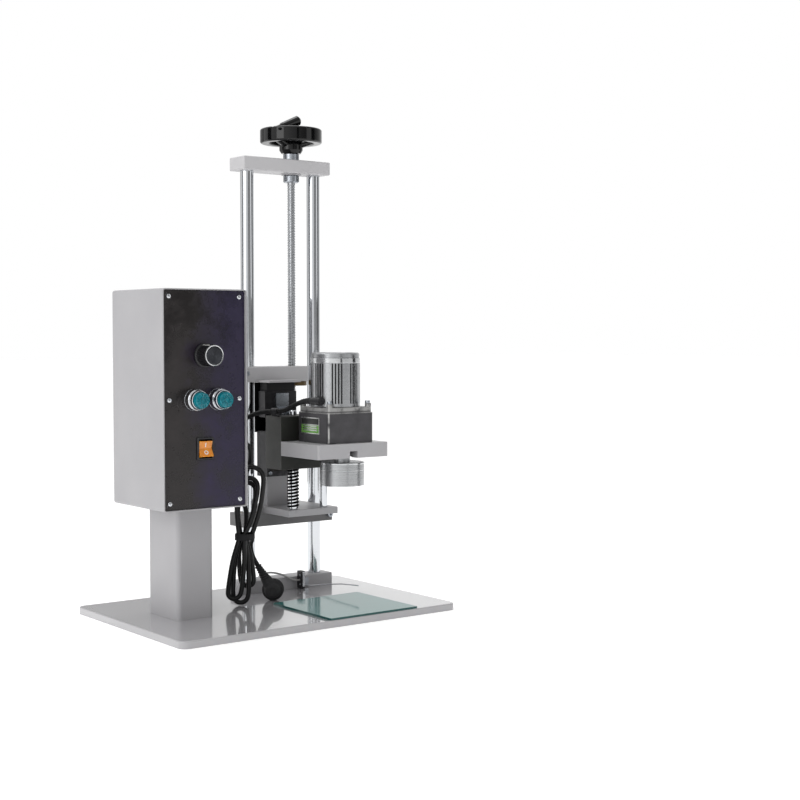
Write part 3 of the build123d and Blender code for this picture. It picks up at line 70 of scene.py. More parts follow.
scene = bpy.context.scene
nodes = frame["nodes"]
mm = 0.001


# Camera: a short telephoto a little above the head plate, to the left of the machine, where
# the column, the lead screw and the front of the control box are all seen.
camera_place = (-1.12719, -1.79388, 0.40380)
camera_tilt = 87.41
camera_turn = -37.36
camera_lens = 65.6

camera = bpy.data.objects.new("camera", bpy.data.cameras.new("camera"))
camera.data.lens = camera_lens
camera.data.sensor_width = 36
camera.location = camera_place
camera.rotation_euler = (math.radians(camera_tilt), 0, math.radians(camera_turn))
scene.collection.objects.link(camera)
scene.camera = camera


# Mains lead: round black PVC flex, 7 mm, from the lower gland of the box. Its slack is folded
# into a hank of three turns that differ in size, held by a strap, and ends in a moulded plug.
mains_diameter = 7.0
mains_run = [
    (-59.5, 43.5, 180), (-41.5, 43.5, 180), (-24.5, 39.5, 170),
    (-16.5, 33.5, 152), (-19.5, 26.5, 132),
]
tie_point = Vector((-33.5, 15.5, 111))
tie_half_height = 3.0
hank_right = Vector((0.795, -0.607, 0))
hank_front = Vector((-0.607, -0.795, 0))
hank_lean = math.radians(9)
hank_exit = 11.5
strand_gap = 7.3
lower_bights = [(9.5, 74.0, 7.0), (11.0, 97.0, -3.0), (9.5, 90.0, -12.0)]
upper_bights = [(12.0, 78.0, 3.0), (12.5, 86.0, 1.0), (15.0, 103.0, 0.0)]
plug_way_out = [(12.5, -1.0, -1.0), (14.0, -6.0, -10.0), (10.0, -12.0, -18.0)]
plug_run = [(-6, 36, 84), (-0.824, 37.545, 72.416), (4.137, 33.757, 62.168)]
front = Vector((0, -1, 0))
right = Vector((1, 0, 0))
up = Vector((0, 0, 1))


def linear(colour):
    """The linear values of an sRGB hex colour, with alpha."""
    parts = [int(colour[i:i + 2], 16) / 255 for i in (0, 2, 4)]
    return [c / 12.92 if c <= 0.04045 else ((c + 0.055) / 1.055) ** 2.4 for c in parts] + [1]


def add(tree, kind, inputs=None, **settings):
    """Adds a node with its settings, values and links; a node as a value is its first output."""
    node = tree.nodes.new("ShaderNode" + kind)
    for name, value in settings.items():
        setattr(node, name, value)
    for name, value in (inputs or {}).items():
        if isinstance(value, bpy.types.Node):
            value = value.outputs[0]
        if isinstance(value, bpy.types.NodeSocket):
            tree.links.new(value, node.inputs[name])
        else:
            node.inputs[name].default_value = value
    return node


def unfinished(name):
    """A new material with an empty tree, and each point's own place on the machine in metres."""
    material = bpy.data.materials.new(name)
    material.use_nodes = True
    tree = material.node_tree
    tree.nodes.clear()
    return material, tree, add(tree, "TexCoord").outputs["Object"]


def moulded(name, colour, shade, roughness, grain, depth=0.02, patch=12.0, **more):
    """Moulded or extruded plastic: two close tones, a fine skin grain and uneven gloss."""
    material, tree, place = unfinished(name)
    clouds = add(tree, "TexNoise", {"Vector": place, "Scale": 1000 / patch, "Detail": 3.0})
    pores = add(tree, "TexNoise", {"Vector": place, "Scale": 1000 / grain, "Detail": 2.0})
    tone = add(tree, "Mix", {0: clouds, 6: linear(colour), 7: linear(shade)}, data_type="RGBA")
    gloss = add(tree, "MapRange", {0: clouds, 3: roughness * 0.85, 4: min(1.0, roughness * 1.2)})
    edge = add(tree, "Bevel", {"Radius": 0.35 * mm}, samples=4)
    relief = add(tree, "Bump", {
        "Strength": 0.6, "Distance": depth * mm, "Height": pores, "Normal": edge,
    })
    plastic = add(tree, "BsdfPrincipled", {
        "Base Color": tone.outputs[2], "Roughness": gloss, "Normal": relief, **more,
    })
    add(tree, "OutputMaterial", {0: plastic})
    return material



def dress(material, *names):
    """Gives these CAD nodes the material in each of their slots."""
    for name in names:
        slots = nodes[name].data.materials
        if not slots:
            slots.append(material)
        for i in range(len(slots)):
            slots[i] = material


# Soft PVC, extruded: a dull sheen that is broken by a very slight waviness along the flex.
pvc_flex = moulded("soft_pvc_extruded", "0D0D0E", "151516", 0.42, 3.0, 0.03, 20.0,
                   **{"Specular IOR Level": 0.3})
# Nylon, moulded: satin black with a fine spark-eroded grain, drawn at 0.6 mm so that it shows.
nylon_black = moulded("nylon_moulded_black", "17171A", "1F1F22", 0.38, 0.6, 0.02)
# Rubber, vulcanised: matt near-black that bites the light, with a bloom in cloudy patches.
rubber_black = moulded("rubber_vulcanised", "141416", "232324", 0.7, 0.8, 0.04)


def in_hank(across, rise, forward):
    """A point of the hank, from the tie: across and up in its plane, forward to the front."""
    return tie_point + across * hank_right + rise * up + forward * hank_front


def bight(half_width, depth, drift):
    """Control points of one open bight, from beside the tie round its far end and back."""
    straight = depth - half_width
    bend = 1.05 * half_width
    side = [(0.55, 0.16 * depth), (0.9, 0.38 * depth), (1.0, 0.6 * depth)]
    points = [(half_width * w, d) for w, d in side]
    for angle in (math.radians(a) for a in (0, 45, 90, 135, 180)):
        points.append((bend * math.cos(angle), straight + bend * math.sin(angle)))
    points += [(-half_width * w, d) for w, d in reversed(side)]
    return [(x + drift * d / depth, d) for x, d in points]


def cord_curve(name, points, diameter, material):
    """A round cord as one open NURBS spline over these control points, in millimetres."""
    data = bpy.data.curves.new(name, "CURVE")
    data.dimensions = "3D"
    data.bevel_depth = diameter / 2 * mm
    data.bevel_resolution = 5
    data.use_fill_caps = True
    data.resolution_u = 8
    spline = data.splines.new("NURBS")
    spline.points.add(len(points) - 1)
    for knot, point in zip(spline.points, points):
        knot.co = (*(Vector(point) * mm), 1)
    spline.order_u = 3
    spline.use_endpoint_u = True
    data.materials.append(material)
    made = bpy.data.objects.new(name, data)
    scene.collection.objects.link(made)
    return made


def line_of(cord):
    """The points of a cord's own spline, without its thickness, from its start."""
    bare = bpy.data.objects.new("bare_line", cord.data.copy())
    bare.data.bevel_depth = 0
    plain = bpy.data.meshes.new_from_object(bare)
    points = [v.co.copy() for v in plain.vertices]
    bpy.data.meshes.remove(plain)
    bpy.data.curves.remove(bare.data)
    return points


def set_out(name, bm, material):
    """An object in the scene made of these faces, in this material."""
    mesh = bpy.data.meshes.new(name)
    bm.to_mesh(mesh)
    bm.free()
    mesh.materials.append(material)
    made = bpy.data.objects.new(name, mesh)
    scene.collection.objects.link(made)
    return made


def piece(name, bm, material, body, sharp=40):
    """A finished mesh piece that rides on its body."""
    bmesh.ops.recalc_face_normals(bm, faces=bm.faces)
    made = set_out(name, bm, material)
    made.data.shade_smooth()
    made.data.set_sharp_from_angle(angle=math.radians(sharp))
    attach(made, body)
    return made


def ring_of(bm, centre, side, other, radii, unit=mm):
    """Points round a centre, evenly from side to other, each at its own radius."""
    ring = []
    for k, radius in enumerate(radii):
        angle = 2 * math.pi * k / len(radii)
        out = math.cos(angle) * side + math.sin(angle) * other
        ring.append(bm.verts.new((centre + radius * out) * unit))
    return ring


def skin(bm, rings, ends=True):
    """Joins each ring to the next with faces and caps the ends. Gives the faces, row by row."""
    rows = []
    for low, high in zip(rings, rings[1:]):
        turns = [(k, (k + 1) % len(low)) for k in range(len(low))]
        rows.append([bm.faces.new((low[k], low[n], high[n], high[k])) for k, n in turns])
    if ends:
        bm.faces.new(list(reversed(rings[0])))
        bm.faces.new(rings[-1])
    return rows


def sweep(bm, line, radii, sides=20):
    """Adds a closed tube along a line in metres, with one radius per point."""
    rings = []
    side = (line[1] - line[0]).orthogonal().normalized()
    for i, point in enumerate(line):
        ahead = (line[min(i + 1, len(line) - 1)] - line[max(i - 1, 0)]).normalized()
        side = (side - side.dot(ahead) * ahead).normalized()
        rings.append(ring_of(bm, point, side, ahead.cross(side), [radii[i]] * sides, 1.0))
    skin(bm, rings)


def sleeve(name, cord, length, thick, thin, body, ribs=5, groove=0.9):
    """A tapered strain relief with ribs, moulded round the end of a cord."""
    line = line_of(cord)
    travelled = 0.0
    marks = [line[0]]
    steps = ribs * 4
    wanted = 1
    for near, far in zip(line, line[1:]):
        run = (far - near).length
        while wanted <= steps and travelled + run >= length * mm * wanted / steps:
            marks.append(near.lerp(far, (length * mm * wanted / steps - travelled) / run))
            wanted += 1
        travelled += run
    radii = []
    for i in range(len(marks)):
        taper = thick + (thin - thick) * i / (len(marks) - 1)
        cut = groove if i % 4 in (2, 3) and i < len(marks) - 2 else 0.0
        radii.append((taper - cut) * mm)
    bm = bmesh.new()
    sweep(bm, marks, radii)
    return piece(name, bm, rubber_black, body, sharp=50)


hank = []
for turn, (lower, upper) in enumerate(zip(lower_bights, upper_bights)):
    last = turn == len(upper_bights) - 1
    layer = strand_gap * (turn - 1)
    next_layer = 0.0 if last else strand_gap * turn
    exit_across = hank_exit if last else strand_gap / 2
    hank.append(in_hank(strand_gap / 2, tie_half_height, layer))
    hank.append(in_hank(strand_gap / 2, -tie_half_height, layer))
    for across, along in bight(*lower):
        hank.append(in_hank(across, -along, layer))
    hank.append(in_hank(-strand_gap / 2, -tie_half_height, layer))
    hank.append(in_hank(-strand_gap / 2, tie_half_height, layer))
    bight_points = bight(*upper)
    for i, (across, along) in enumerate(bight_points):
        share = max(0.0, (i - 5) / (len(bight_points) - 6))
        a = -across * math.cos(hank_lean) + along * math.sin(hank_lean)
        b = across * math.sin(hank_lean) + along * math.cos(hank_lean)
        a += (exit_across - strand_gap / 2) * share
        hank.append(in_hank(a, b, layer + (next_layer - layer) * share))
way_out = [in_hank(a, b, n) for a, b, n in plug_way_out]
mains_points = mains_run + hank + way_out + plug_run
mains_lead = cord_curve("mains_lead", mains_points, mains_diameter, pvc_flex)
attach(mains_lead, "stand")
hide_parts("mains_cord", "mains_hank", "plug_cord")
sleeve("mains_sleeve", mains_lead, 26, 6.2, 4.3, "stand")


# Strap on the hank: a black hook-and-loop tie, wound once tight round the seven strands. It
# stands a little proud of them, and its woven hems are thinner than its middle.
strap_width = 9.0
strap_box = [(-8.6, -12.4), (16.2, 12.4)]
strap_round = 5.5
strap_thick = 1.4
strap_hem = 0.8

# Polyamide, woven hook-and-loop tape: matt black with a short pile that scatters the light.
woven_tape = moulded("polyamide_hook_tape", "121214", "2A2A2C", 0.85, 0.5, 0.12)

bm = bmesh.new()
stacks = {0.0: [], strap_thick: []}
half = strap_width / 2
for level in (-half, -half + strap_hem, half - strap_hem, half):
    for out, stack in stacks.items():
        reach = strap_round + out - (0.5 if abs(level) == half and out else 0.0)
        ring = []
        for corner, (cx, cy) in enumerate(((1, 1), (0, 1), (0, 0), (1, 0))):
            mid_x = strap_box[1][0] - strap_round if cx else strap_box[0][0] + strap_round
            mid_y = strap_box[1][1] - strap_round if cy else strap_box[0][1] + strap_round
            for k in range(7):
                angle = math.radians(90 * corner + 15 * k)
                across, forward = mid_x + reach * math.cos(angle), mid_y + reach * math.sin(angle)
                ring.append(bm.verts.new(in_hank(across, level, forward) * mm))
        stack.append(ring)
inner, outer = stacks.values()
for rings in (outer, inner, (outer[0], inner[0]), (outer[-1], inner[-1])):
    skin(bm, rings, ends=False)
piece("hank_strap", bm, woven_tape, "stand")


# Plug: a round type moulded in black rubber, with a ribbed neck that grips the flex and three
# flat brass pins, nickel plated, on the side away from the viewer.
plug_centre = Vector((21.5, 20.5, 26.3))
plug_front = hank_front
plug_neck = Vector((-0.413, 0.316, 0.854))
plug_radius = 16.0
plug_half = 11.0
neck_length = 42.0
neck_thick = 10.8
neck_taper = 5.6
neck_groove = 0.9
neck_steps = 40
plug_waist = plug_radius - 0.9
pin_size = (1.8, 6.0, 18.0)
pin_places = [(-7.0, 0.0, 0), (5.0, 6.5, 1), (5.0, -6.5, 2)]


def turned(bm, profile, centre, axis, sides=48, closed=True):
    """Adds a body turned from a profile of (radius, height) in mm about an axis."""
    axis = Vector(axis).normalized()
    side = axis.orthogonal().normalized()
    other = axis.cross(side)
    rings = [
        ring_of(bm, Vector(centre) + height * axis, side, other, [radius] * sides)
        for radius, height in profile
    ]
    skin(bm, rings if closed else rings + rings[:1], ends=closed)


plug_neck = (plug_neck - plug_neck.dot(plug_front) * plug_front).normalized()
plug_side = plug_neck.cross(plug_front)
bm = bmesh.new()
turned(bm, [
    (plug_radius - 5, -plug_half), (plug_radius - 1.2, -plug_half + 0.3),
    (plug_radius, -plug_half + 1.8), (plug_radius, -plug_half + 7), (plug_waist, -plug_half + 8),
    (plug_waist, -plug_half + 9), (plug_radius, -plug_half + 10), (plug_radius - 0.4, -1.0),
    (plug_radius - 2.0, 1.0), (plug_radius - 3.6, 1.6), (plug_radius - 4.2, 3.0),
    (plug_radius - 4.8, 7.0), (plug_radius - 6.2, 9.4), (plug_radius - 8.6, 10.6),
    (plug_radius - 11.0, plug_half), (plug_radius - 11.6, plug_half - 0.7), (1.0, plug_half - 0.7),
], plug_centre, plug_front, 56)
neck_line = []
neck_radii = []
for i in range(neck_steps + 1):
    share = i / neck_steps
    neck_line.append((plug_centre + (4 + (neck_length - 4) * share) * plug_neck) * mm)
    wide = neck_thick - neck_taper * min(1.0, share * 1.15) ** 0.8
    groove = neck_groove if share > 0.42 and i % 4 in (0, 1) and i < neck_steps - 1 else 0.0
    neck_radii.append((wide - groove) * mm)
sweep(bm, neck_line, neck_radii, 28)
plug_body = piece("plug_body", bm, rubber_black, "stand", sharp=35)
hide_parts("mains_plug")


def block(bm, centre, size, axes, soft=0.3):
    """Adds a block with softened edges: size in mm along three axes from its centre."""
    part = bmesh.new()
    bmesh.ops.create_cube(part, size=1)
    for vert in part.verts:
        vert.co = Vector((vert.co.x * size[0], vert.co.y * size[1], vert.co.z * size[2]))
    if soft:
        bmesh.ops.bevel(part, geom=part.edges[:], offset=soft, segments=2, affect="EDGES",
                        profile=0.7)
    for vert in part.verts:
        local = vert.co.copy()
        vert.co = (Vector(centre) + local.x * axes[0] + local.y * axes[1] + local.z * axes[2]) * mm
    temporary = bpy.data.meshes.new("temporary")
    part.to_mesh(temporary)
    part.free()
    bm.from_mesh(temporary)
    bpy.data.meshes.remove(temporary)


def machined(name, colour, shade, roughness, marks, spread=0.25, depth=0.004, **more):
    """Bare metal: tool marks, as wide as marks says in mm along x, y and z, and dull smears."""
    material, tree, place = unfinished(name)
    stretched = add(tree, "Mapping", {"Vector": place, "Scale": [1000 / m for m in marks]})
    lines = add(tree, "TexNoise", {"Vector": stretched, "Scale": 1.0, "Detail": 3.0})
    smears = add(tree, "TexNoise", {"Vector": place, "Scale": 1000 / 25, "Detail": 4.0})
    tone = add(tree, "Mix", {0: lines, 6: linear(colour), 7: linear(shade)}, data_type="RGBA")
    both = add(tree, "Math", {0: lines, 1: smears}, operation="MULTIPLY")
    gloss = add(tree, "MapRange", {
        0: both, 1: 0.12, 2: 0.42,
        3: roughness * (1 - spread), 4: min(1.0, roughness * (1 + spread)),
    })
    edge = add(tree, "Bevel", {"Radius": 0.3 * mm}, samples=4)
    relief = add(tree, "Bump", {
        "Strength": 0.5, "Distance": depth * mm, "Height": lines, "Normal": edge,
    })
    metal = add(tree, "BsdfPrincipled", {
        "Base Color": tone.outputs[2], "Metallic": 1.0, "Roughness": gloss, "Normal": relief,
        **more,
    })
    add(tree, "OutputMaterial", {0: metal})
    return material



# Brass, nickel plated: a warm silver with a soft polish, rubbed along the pins by use.
nickel_brass = machined("brass_nickel_plated", "CFC8B8", "B9B2A2", 0.25, (2.0, 2.0, 0.4))

bm = bmesh.new()
for along, aside, kind in pin_places:
    start = plug_centre + along * plug_neck + aside * plug_side
    centre = start - (plug_half + pin_size[2] / 2) * plug_front
    blade = (pin_size[1], pin_size[0], pin_size[2]) if kind == 0 else pin_size
    block(bm, centre, blade, (plug_side, plug_neck, plug_front), 0.5)
plug_pins = piece("plug_pins", bm, nickel_brass, "stand")


# Motor lead: black flex of the same gauge from the upper gland of the box to the P-clip on the
# carriage, and on from the clip to the gland of the gearbox. Its loop of slack lets the lift
# climb. Here the loop is one fixed shape that stays with the box; only the lead on from the clip
# moves.
lead_diameter = 7.0
slack_length = 0.312
head_length = 0.075
slack_run = [
    (-59.5, -6.5, 250), (-44, -6.5, 250), (-29, -1, 241), (-22, 10, 221), (-22, 24, 199),
    (-27, 44, 184), (-34, 68, 182), (-38, 90, 195), (-36, 101, 219), (-28, 97, 244),
    (-16, 80, 265), (-2, 56, 279.5), (12.274, 36.863, 290), (23.224, 23.860, 290),
]
head_run = [
    (50.233, -41.145, 307), (47.833, -29.385, 307), (45.5, -15, 303.5), (41, -2.5, 298),
    (34.173, 10.856, 290), (23.224, 23.860, 290),
]
slack_guide = cord_curve("motor_lead_guide", slack_run, lead_diameter, pvc_flex)
slack_line = line_of(slack_guide)
bm = bmesh.new()
sweep(bm, slack_line, [lead_diameter / 2 * mm] * len(slack_line), 16)
lead_slack = set_out("motor_lead_loop", bm, pvc_flex)
lead_slack.data.shade_smooth()
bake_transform(lead_slack)
lead_head = cord_curve("motor_lead_end", head_run, lead_diameter, pvc_flex)
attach(lead_head, nodes["motor_lead_head"]["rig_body"])
for lead, run, length, node in (
    (lead_slack, slack_run, slack_length, "motor_lead_slack"),
    (lead_head, head_run, head_length, "motor_lead_head"),
):
    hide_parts(node)
sleeve("box_sleeve", slack_guide, 22, 6.0, 4.2, "stand")
bpy.data.objects.remove(slack_guide)
sleeve("gearbox_sleeve", lead_head, 20, 4.9, 3.9, lead_head["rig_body"], ribs=4)
dress(nylon_black, "box_glands", "motor_gland", "lead_clip")


# Switch lead: thin round three-core flex from the bottle switch at the foot of the column. It
# arches behind the column block and goes down through a hole in the base.
switch_lead_diameter = 3.0
switch_run = [
    (110.25, 83, 23.5), (102.25, 83, 23.5), (93.25, 85, 27), (84.25, 91, 33), (77.25, 101, 35.5),
    (71.25, 113, 35), (66.75, 124, 31), (65.1, 133.5, 24), (64.5, 136, 15), (64.5, 136, 5),
]
# Soft PVC, grey: a light satin flex that the base plate's reflection almost hides.
pvc_grey = moulded("soft_pvc_grey", "A9A9A7", "9B9B99", 0.4, 3.0, 0.02, 20.0)
switch_cord = cord_curve("switch_flex", switch_run, switch_lead_diameter, pvc_grey)
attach(switch_cord, "stand")
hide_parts("switch_lead")


# Base: a 10 mm steel plate, sprayed with grey two-part enamel and stoved, so that its top
# mirrors the post. Its sheared edges show as a lighter line, rubbed paint with a painted highlight.
def painted(name, colour, shade, roughness, peel, sheen, glaze, worn="D9D8D8"):
    """Sprayed paint on steel: orange peel, cloudy dull patches, a painted highlight at rubbed
    edges.
    """
    material, tree, place = unfinished(name)
    clouds = add(tree, "TexNoise", {"Vector": place, "Scale": 1000 / 90, "Detail": 4.0})
    peeled = add(tree, "TexNoise", {"Vector": place, "Scale": 1000 / peel, "Detail": 1.0})
    tone = add(tree, "Mix", {0: clouds, 6: linear(colour), 7: linear(shade)}, data_type="RGBA")
    edge = add(tree, "Bevel", {"Radius": 0.7 * mm}, samples=6)
    flat = add(tree, "NewGeometry").outputs["Normal"]
    turn = add(tree, "VectorMath", {0: edge, 1: flat}, operation="DOT_PRODUCT").outputs["Value"]
    # Lighter line at the edges: partly rubbed paint, partly a painted highlight where the edges
    # catch light.
    rubbed_and_highlit_edges = add(tree, "MapRange", {0: turn, 1: 0.97, 2: 0.80, 3: 0.0, 4: 0.55})
    lit = add(tree, "Mix", {0: rubbed_and_highlit_edges, 6: tone.outputs[2], 7: linear(worn)}, data_type="RGBA")
    gloss = add(tree, "MapRange", {
        0: clouds, 1: 0.3, 2: 0.7, 3: roughness * 0.8, 4: roughness * 1.25,
    })
    relief = add(tree, "Bump", {
        "Strength": 0.35, "Distance": 0.03 * mm, "Height": peeled, "Normal": edge,
    })
    paint = add(tree, "BsdfPrincipled", {
        "Base Color": lit.outputs[2], "Roughness": gloss, "Normal": relief,
        "Coat Weight": sheen, "Coat Roughness": glaze,
    })
    add(tree, "OutputMaterial", {0: paint})
    return material



# Two-part enamel, stoved: a flowed-out gloss that mirrors what stands on it, softly.
stoved_enamel = painted("stoved_enamel_grey", "A9A8AA", "A09FA2", 0.2, 14.0, 1.0, 0.03)
# Powder coat, satin: the same warm grey with a fine orange peel that blurs every reflection.
powder_coat = painted("powder_coat_satin_grey", "A9A8AA", "9F9EA1", 0.42, 2.5, 0.1, 0.2)
dress(stoved_enamel, "base_plate")


# Post: a folded and welded box of 3 mm sheet that carries the control box at the left, coated
# with it. It bolts to the base from below, so that no screws show.
dress(powder_coat, "box_post")


# Control box: a folded and welded sheet steel case, open at the front, where the panel sits
# 4 mm back inside a thin bright lip. It is powder coated grey; the lip's edge has rubbed paint and
# a painted highlight.
dress(powder_coat, "control_box")

# Glass cloth laminate with a solder mask: the green board on stand-offs behind the panel.
glass_laminate = moulded("glass_laminate_masked", "1F5A3A", "2A6B45", 0.35, 1.2, 0.02)
dress(glass_laminate, "control_board")


# Panel: a 2 mm steel plate faced with a printed polyester film, near black at the left and
# dark violet at the right. It lies a little unevenly, and its paler blotches are a painted
# reflection.
def film_on_plate():
    """Polyester film, printed from behind: black to violet, glossy, waved by its adhesive."""
    material, tree, place = unfinished("polyester_film_violet")
    blotch = add(tree, "TexNoise", {
        "Vector": place, "Scale": 1000 / 45, "Detail": 5.0, "Roughness": 0.65,
    })
    fine = add(tree, "TexNoise", {"Vector": place, "Scale": 1000 / 4, "Detail": 3.0})
    reflection_blotches = add(tree, "MapRange", {0: blotch, 1: 0.35, 2: 0.68})
    across = add(tree, "SeparateXYZ", {0: place})
    drift = add(tree, "Math", {0: blotch, 1: 0.12, 2: across}, operation="MULTIPLY_ADD")
    violet = add(tree, "MapRange", {0: drift, 1: -0.105, 2: -0.045})
    deep, pale = (
        add(tree, "Mix", {0: violet, 6: linear(brown), 7: linear(purple)}, data_type="RGBA")
        for brown, purple in (("171313", "140D28"), ("2C2727", "261D3C"))
    )
    # The paler blotches mixed in here are a painted reflection.
    tone = add(tree, "Mix", {
        0: reflection_blotches, 6: deep.outputs[2], 7: pale.outputs[2],
    }, data_type="RGBA")
    gloss = add(tree, "MapRange", {0: reflection_blotches, 3: 0.18, 4: 0.45})
    both = add(tree, "Math", {0: fine, 1: 0.12, 2: blotch}, operation="MULTIPLY_ADD")
    relief = add(tree, "Bump", {"Strength": 0.5, "Distance": 0.25 * mm, "Height": both})
    film = add(tree, "BsdfPrincipled", {
        "Base Color": tone.outputs[2], "Roughness": gloss, "Normal": relief,
        "Coat Weight": 0.1, "Coat Roughness": 0.2, "Specular IOR Level": 0.35,
    })
    add(tree, "OutputMaterial", {0: film})
    return material



dress(film_on_plate(), "front_panel")


# Panel screws: six chromed M4 pan-head screws with cross recesses hold the panel to the
# folded flanges of the box. Each was left at its own turn.
screw_xs = (-191.0, -82.0)
screw_zs = (175.5, 315.0, 454.5)
screw_head_radius = 3.5
screw_head_height = 2.4
panel_face = -58.5

# Steel, chromium plated: near-white, mirror bright, with a few soft smears from handling.
chrome_plate = machined("chromium_plated_steel", "D6D8DB", "C3C6CB", 0.09, (40, 40, 40), 0.5, 0.001)


def screw_head(bm, seat, axis, spin, radius, height, recess=0.62):
    """A pan-head screw with a cross recess, its seat point and axis given in mm."""
    axis = Vector(axis).normalized()
    side = axis.orthogonal().normalized()
    side = math.cos(spin) * side + math.sin(spin) * axis.cross(side)
    other = axis.cross(side)
    rings = []
    for share, rise in ((1.0, 0.0), (1.0, 0.3), (0.93, 0.62), (0.78, 0.86), (0.62, 0.95)):
        centre = Vector(seat) + height * rise * axis
        rings.append(ring_of(bm, centre, side, other, [radius * share] * 24))
    for sink, arm in ((0.95, recess), (0.35, recess * 0.55)):
        cross = [radius * 0.9 * (0.2 if k % 6 else arm) for k in range(24)]
        rings.append(ring_of(bm, Vector(seat) + height * sink * axis, side, other, cross))
    skin(bm, rings)


bm = bmesh.new()
for i, x in enumerate(screw_xs):
    for j, z in enumerate(screw_zs):
        spin = 0.4 + 1.3 * i + 0.7 * j
        screw_head(bm, (x, panel_face, z), front, spin, screw_head_radius, screw_head_height)
screws = piece("panel_screw_heads", bm, chrome_plate, "stand", sharp=30)
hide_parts("panel_screws")


# Speed knob: an aluminium-capped potentiometer knob. Its ABS skirt is black and fluted, with a
# bright turned ring on the shoulder and a spun conical cap, and it has a white pointer line.
knob_place = Vector((-136.5, panel_face, 375.0))
knob_skirt_radius = 16.5
knob_body_radius = 14.5
knob_front = 27.0
knob_flutes = 32
knob_flute_depth = 0.55
knob_points = knob_flutes * 6
knob_ring = (12.6, 14.6)
knob_seat = 26.2
knob_cone_ridge = 0.12
knob_cone_depth = 1.6
pointer_up = Vector((-0.35, 0, 0.94))
pointer_across = Vector((0.94, 0, 0.35))
pointer_size = (1.1, 17, 1.0)

# ABS, moulded: deep black with a soft sheen on the crests of the flutes.
abs_black = moulded("abs_moulded_black", "131315", "1B1B1E", 0.3, 0.9, 0.015)
# Aluminium, turned and lacquered: bright rings that spread the light into two cones.
spun_aluminium = machined("aluminium_spun_lacquered", "E2E3E4", "BFC1C3", 0.16,
                          (0.5, 60, 0.5), 0.3, 0.004)

bm = bmesh.new()
rings = []
for radius, out in (
    (knob_skirt_radius, 0.9), (knob_skirt_radius, 3.2), (knob_body_radius, 4.2),
    (knob_body_radius, 24.5), (knob_body_radius, 25.9), (13.78, 26.6), (12.7, 26.8),
):
    depth = knob_flute_depth if 4 < out < 26 else 0.0
    waves = [math.sin(2 * math.pi * knob_flutes * k / knob_points) for k in range(knob_points)]
    fluted = [radius + depth * wave for wave in waves]
    rings.append(ring_of(bm, knob_place + out * front, right, up, fluted))
skin(bm, rings)
knob_skirt = piece("knob_skirt", bm, abs_black, "knob", sharp=50)
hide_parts("speed_knob")

bm = bmesh.new()
inside, outside = knob_ring
turned(bm, [
    (outside - 0.3, knob_seat), (outside - 0.6, knob_front + 0.6),
    (outside - 1.2, knob_front + 1.1),
    (inside + 0.7, knob_front + 1.1), (inside, knob_front + 0.7), (inside, knob_seat),
], knob_place, front, 72, closed=False)
piece("knob_ring", bm, spun_aluminium, "knob", sharp=30)

# Aluminium, anodised black and spun: dark, with two bright cones of light across its rings.
black_spun = machined("aluminium_anodised_black", "55575C", "1C1D20", 0.3,
                      (0.6, 60, 0.6), 0.3, 0.006, **{"Anisotropic": 0.85})
spun_tree = black_spun.node_tree
round_axis = add(spun_tree, "Tangent", direction_type="RADIAL", axis="Y")
spun_shader = next(n for n in spun_tree.nodes if n.type == "BSDF_PRINCIPLED")
spun_tree.links.new(round_axis.outputs[0], spun_shader.inputs["Tangent"])
bm = bmesh.new()
cone = [(inside + 0.1, knob_front + 0.5)]
for i in range(1, 10):
    ridge = knob_cone_ridge if i % 2 else 0
    cone.append((inside * (1 - i / 10), knob_front + 0.5 - knob_cone_depth * i / 10 + ridge))
turned(bm, cone, knob_place, front, 64)
piece("knob_cap", bm, black_spun, "knob", sharp=20)

# Ink, white, pad printed: flat and opaque, with the slight mottle of a thin print.
white_ink = moulded("white_ink_printed", "E9E9E6", "DADAD6", 0.6, 0.5, 0.01)
bm = bmesh.new()
block(bm, knob_place + 15.0 * front + 14.7 * pointer_up, pointer_size,
      (pointer_across, front, pointer_up), 0.2)
piece("knob_pointer", bm, white_ink, "knob")
dress(nylon_black, "potentiometer")


# Push buttons: lit 22 mm buttons. A chromed bezel with a stepped collar screws up against the
# panel, and a faceted teal lens slides in it.
button_z = 315.0
lens_radius = 10.9
lens_points = 48

# Polycarbonate, teal, with prisms moulded inside: its dark and bright patches are painted shade and
# painted glints.
lens_teal = moulded("polycarbonate_teal", "005260", "0A9CAB", 0.12, 2.4, 0.3, 4.0,
                    **{"Transmission Weight": 0.25, "IOR": 1.585, "Specular IOR Level": 0.25})
dress(chrome_plate, "button_housings")

for x, body, node in (
    (-155.0, "button_left", "push_button_left"), (-118.0, "button_right", "push_button_right"),
):
    seat = Vector((x, panel_face, button_z))
    bm = bmesh.new()
    turned(bm, [
        (lens_radius + 0.25, 20.6), (lens_radius + 0.5, 21.6), (lens_radius + 1.4, 21.9),
        (12.9, 21.3), (13.1, 20.4), (13.1, 16.4), (13.6, 15.9), (13.6, 11.2), (13.0, 10.8),
        (13.0, 9.8), (13.6, 9.4), (13.6, 5.4), (14.9, 4.6), (15.2, 3.6), (15.2, 0.9),
        (14.7, 0.05), (11.4, 0.05), (11.4, 20.2),
    ], seat, front, 64, closed=False)
    piece("bezel_" + body, bm, chrome_plate, "stand", sharp=30)
    bm = bmesh.new()
    rings = []
    for share, out, facet in (
        (0.68, 0.4, 0), (0.68, 3.3, 0), (1.0, 3.4, 0), (1.0, 26.2, 0), (0.97, 27.6, 0),
        (0.88, 28.3, 0), (0.80, 28.5, 1), (0.46, 28.8, 1), (0.40, 28.2, 1), (0.2, 28.5, 0),
    ):
        ring = ring_of(bm, seat + out * front, right, up, [lens_radius * share] * lens_points)
        for k, vert in enumerate(ring):
            vert.co += 0.5 * mm * facet * (1 if (k // 2) % 2 else -1) * front
        rings.append(ring)
    skin(bm, rings)
    lens = piece("lens_" + body, bm, lens_teal, body, sharp=14)
    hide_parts(node)


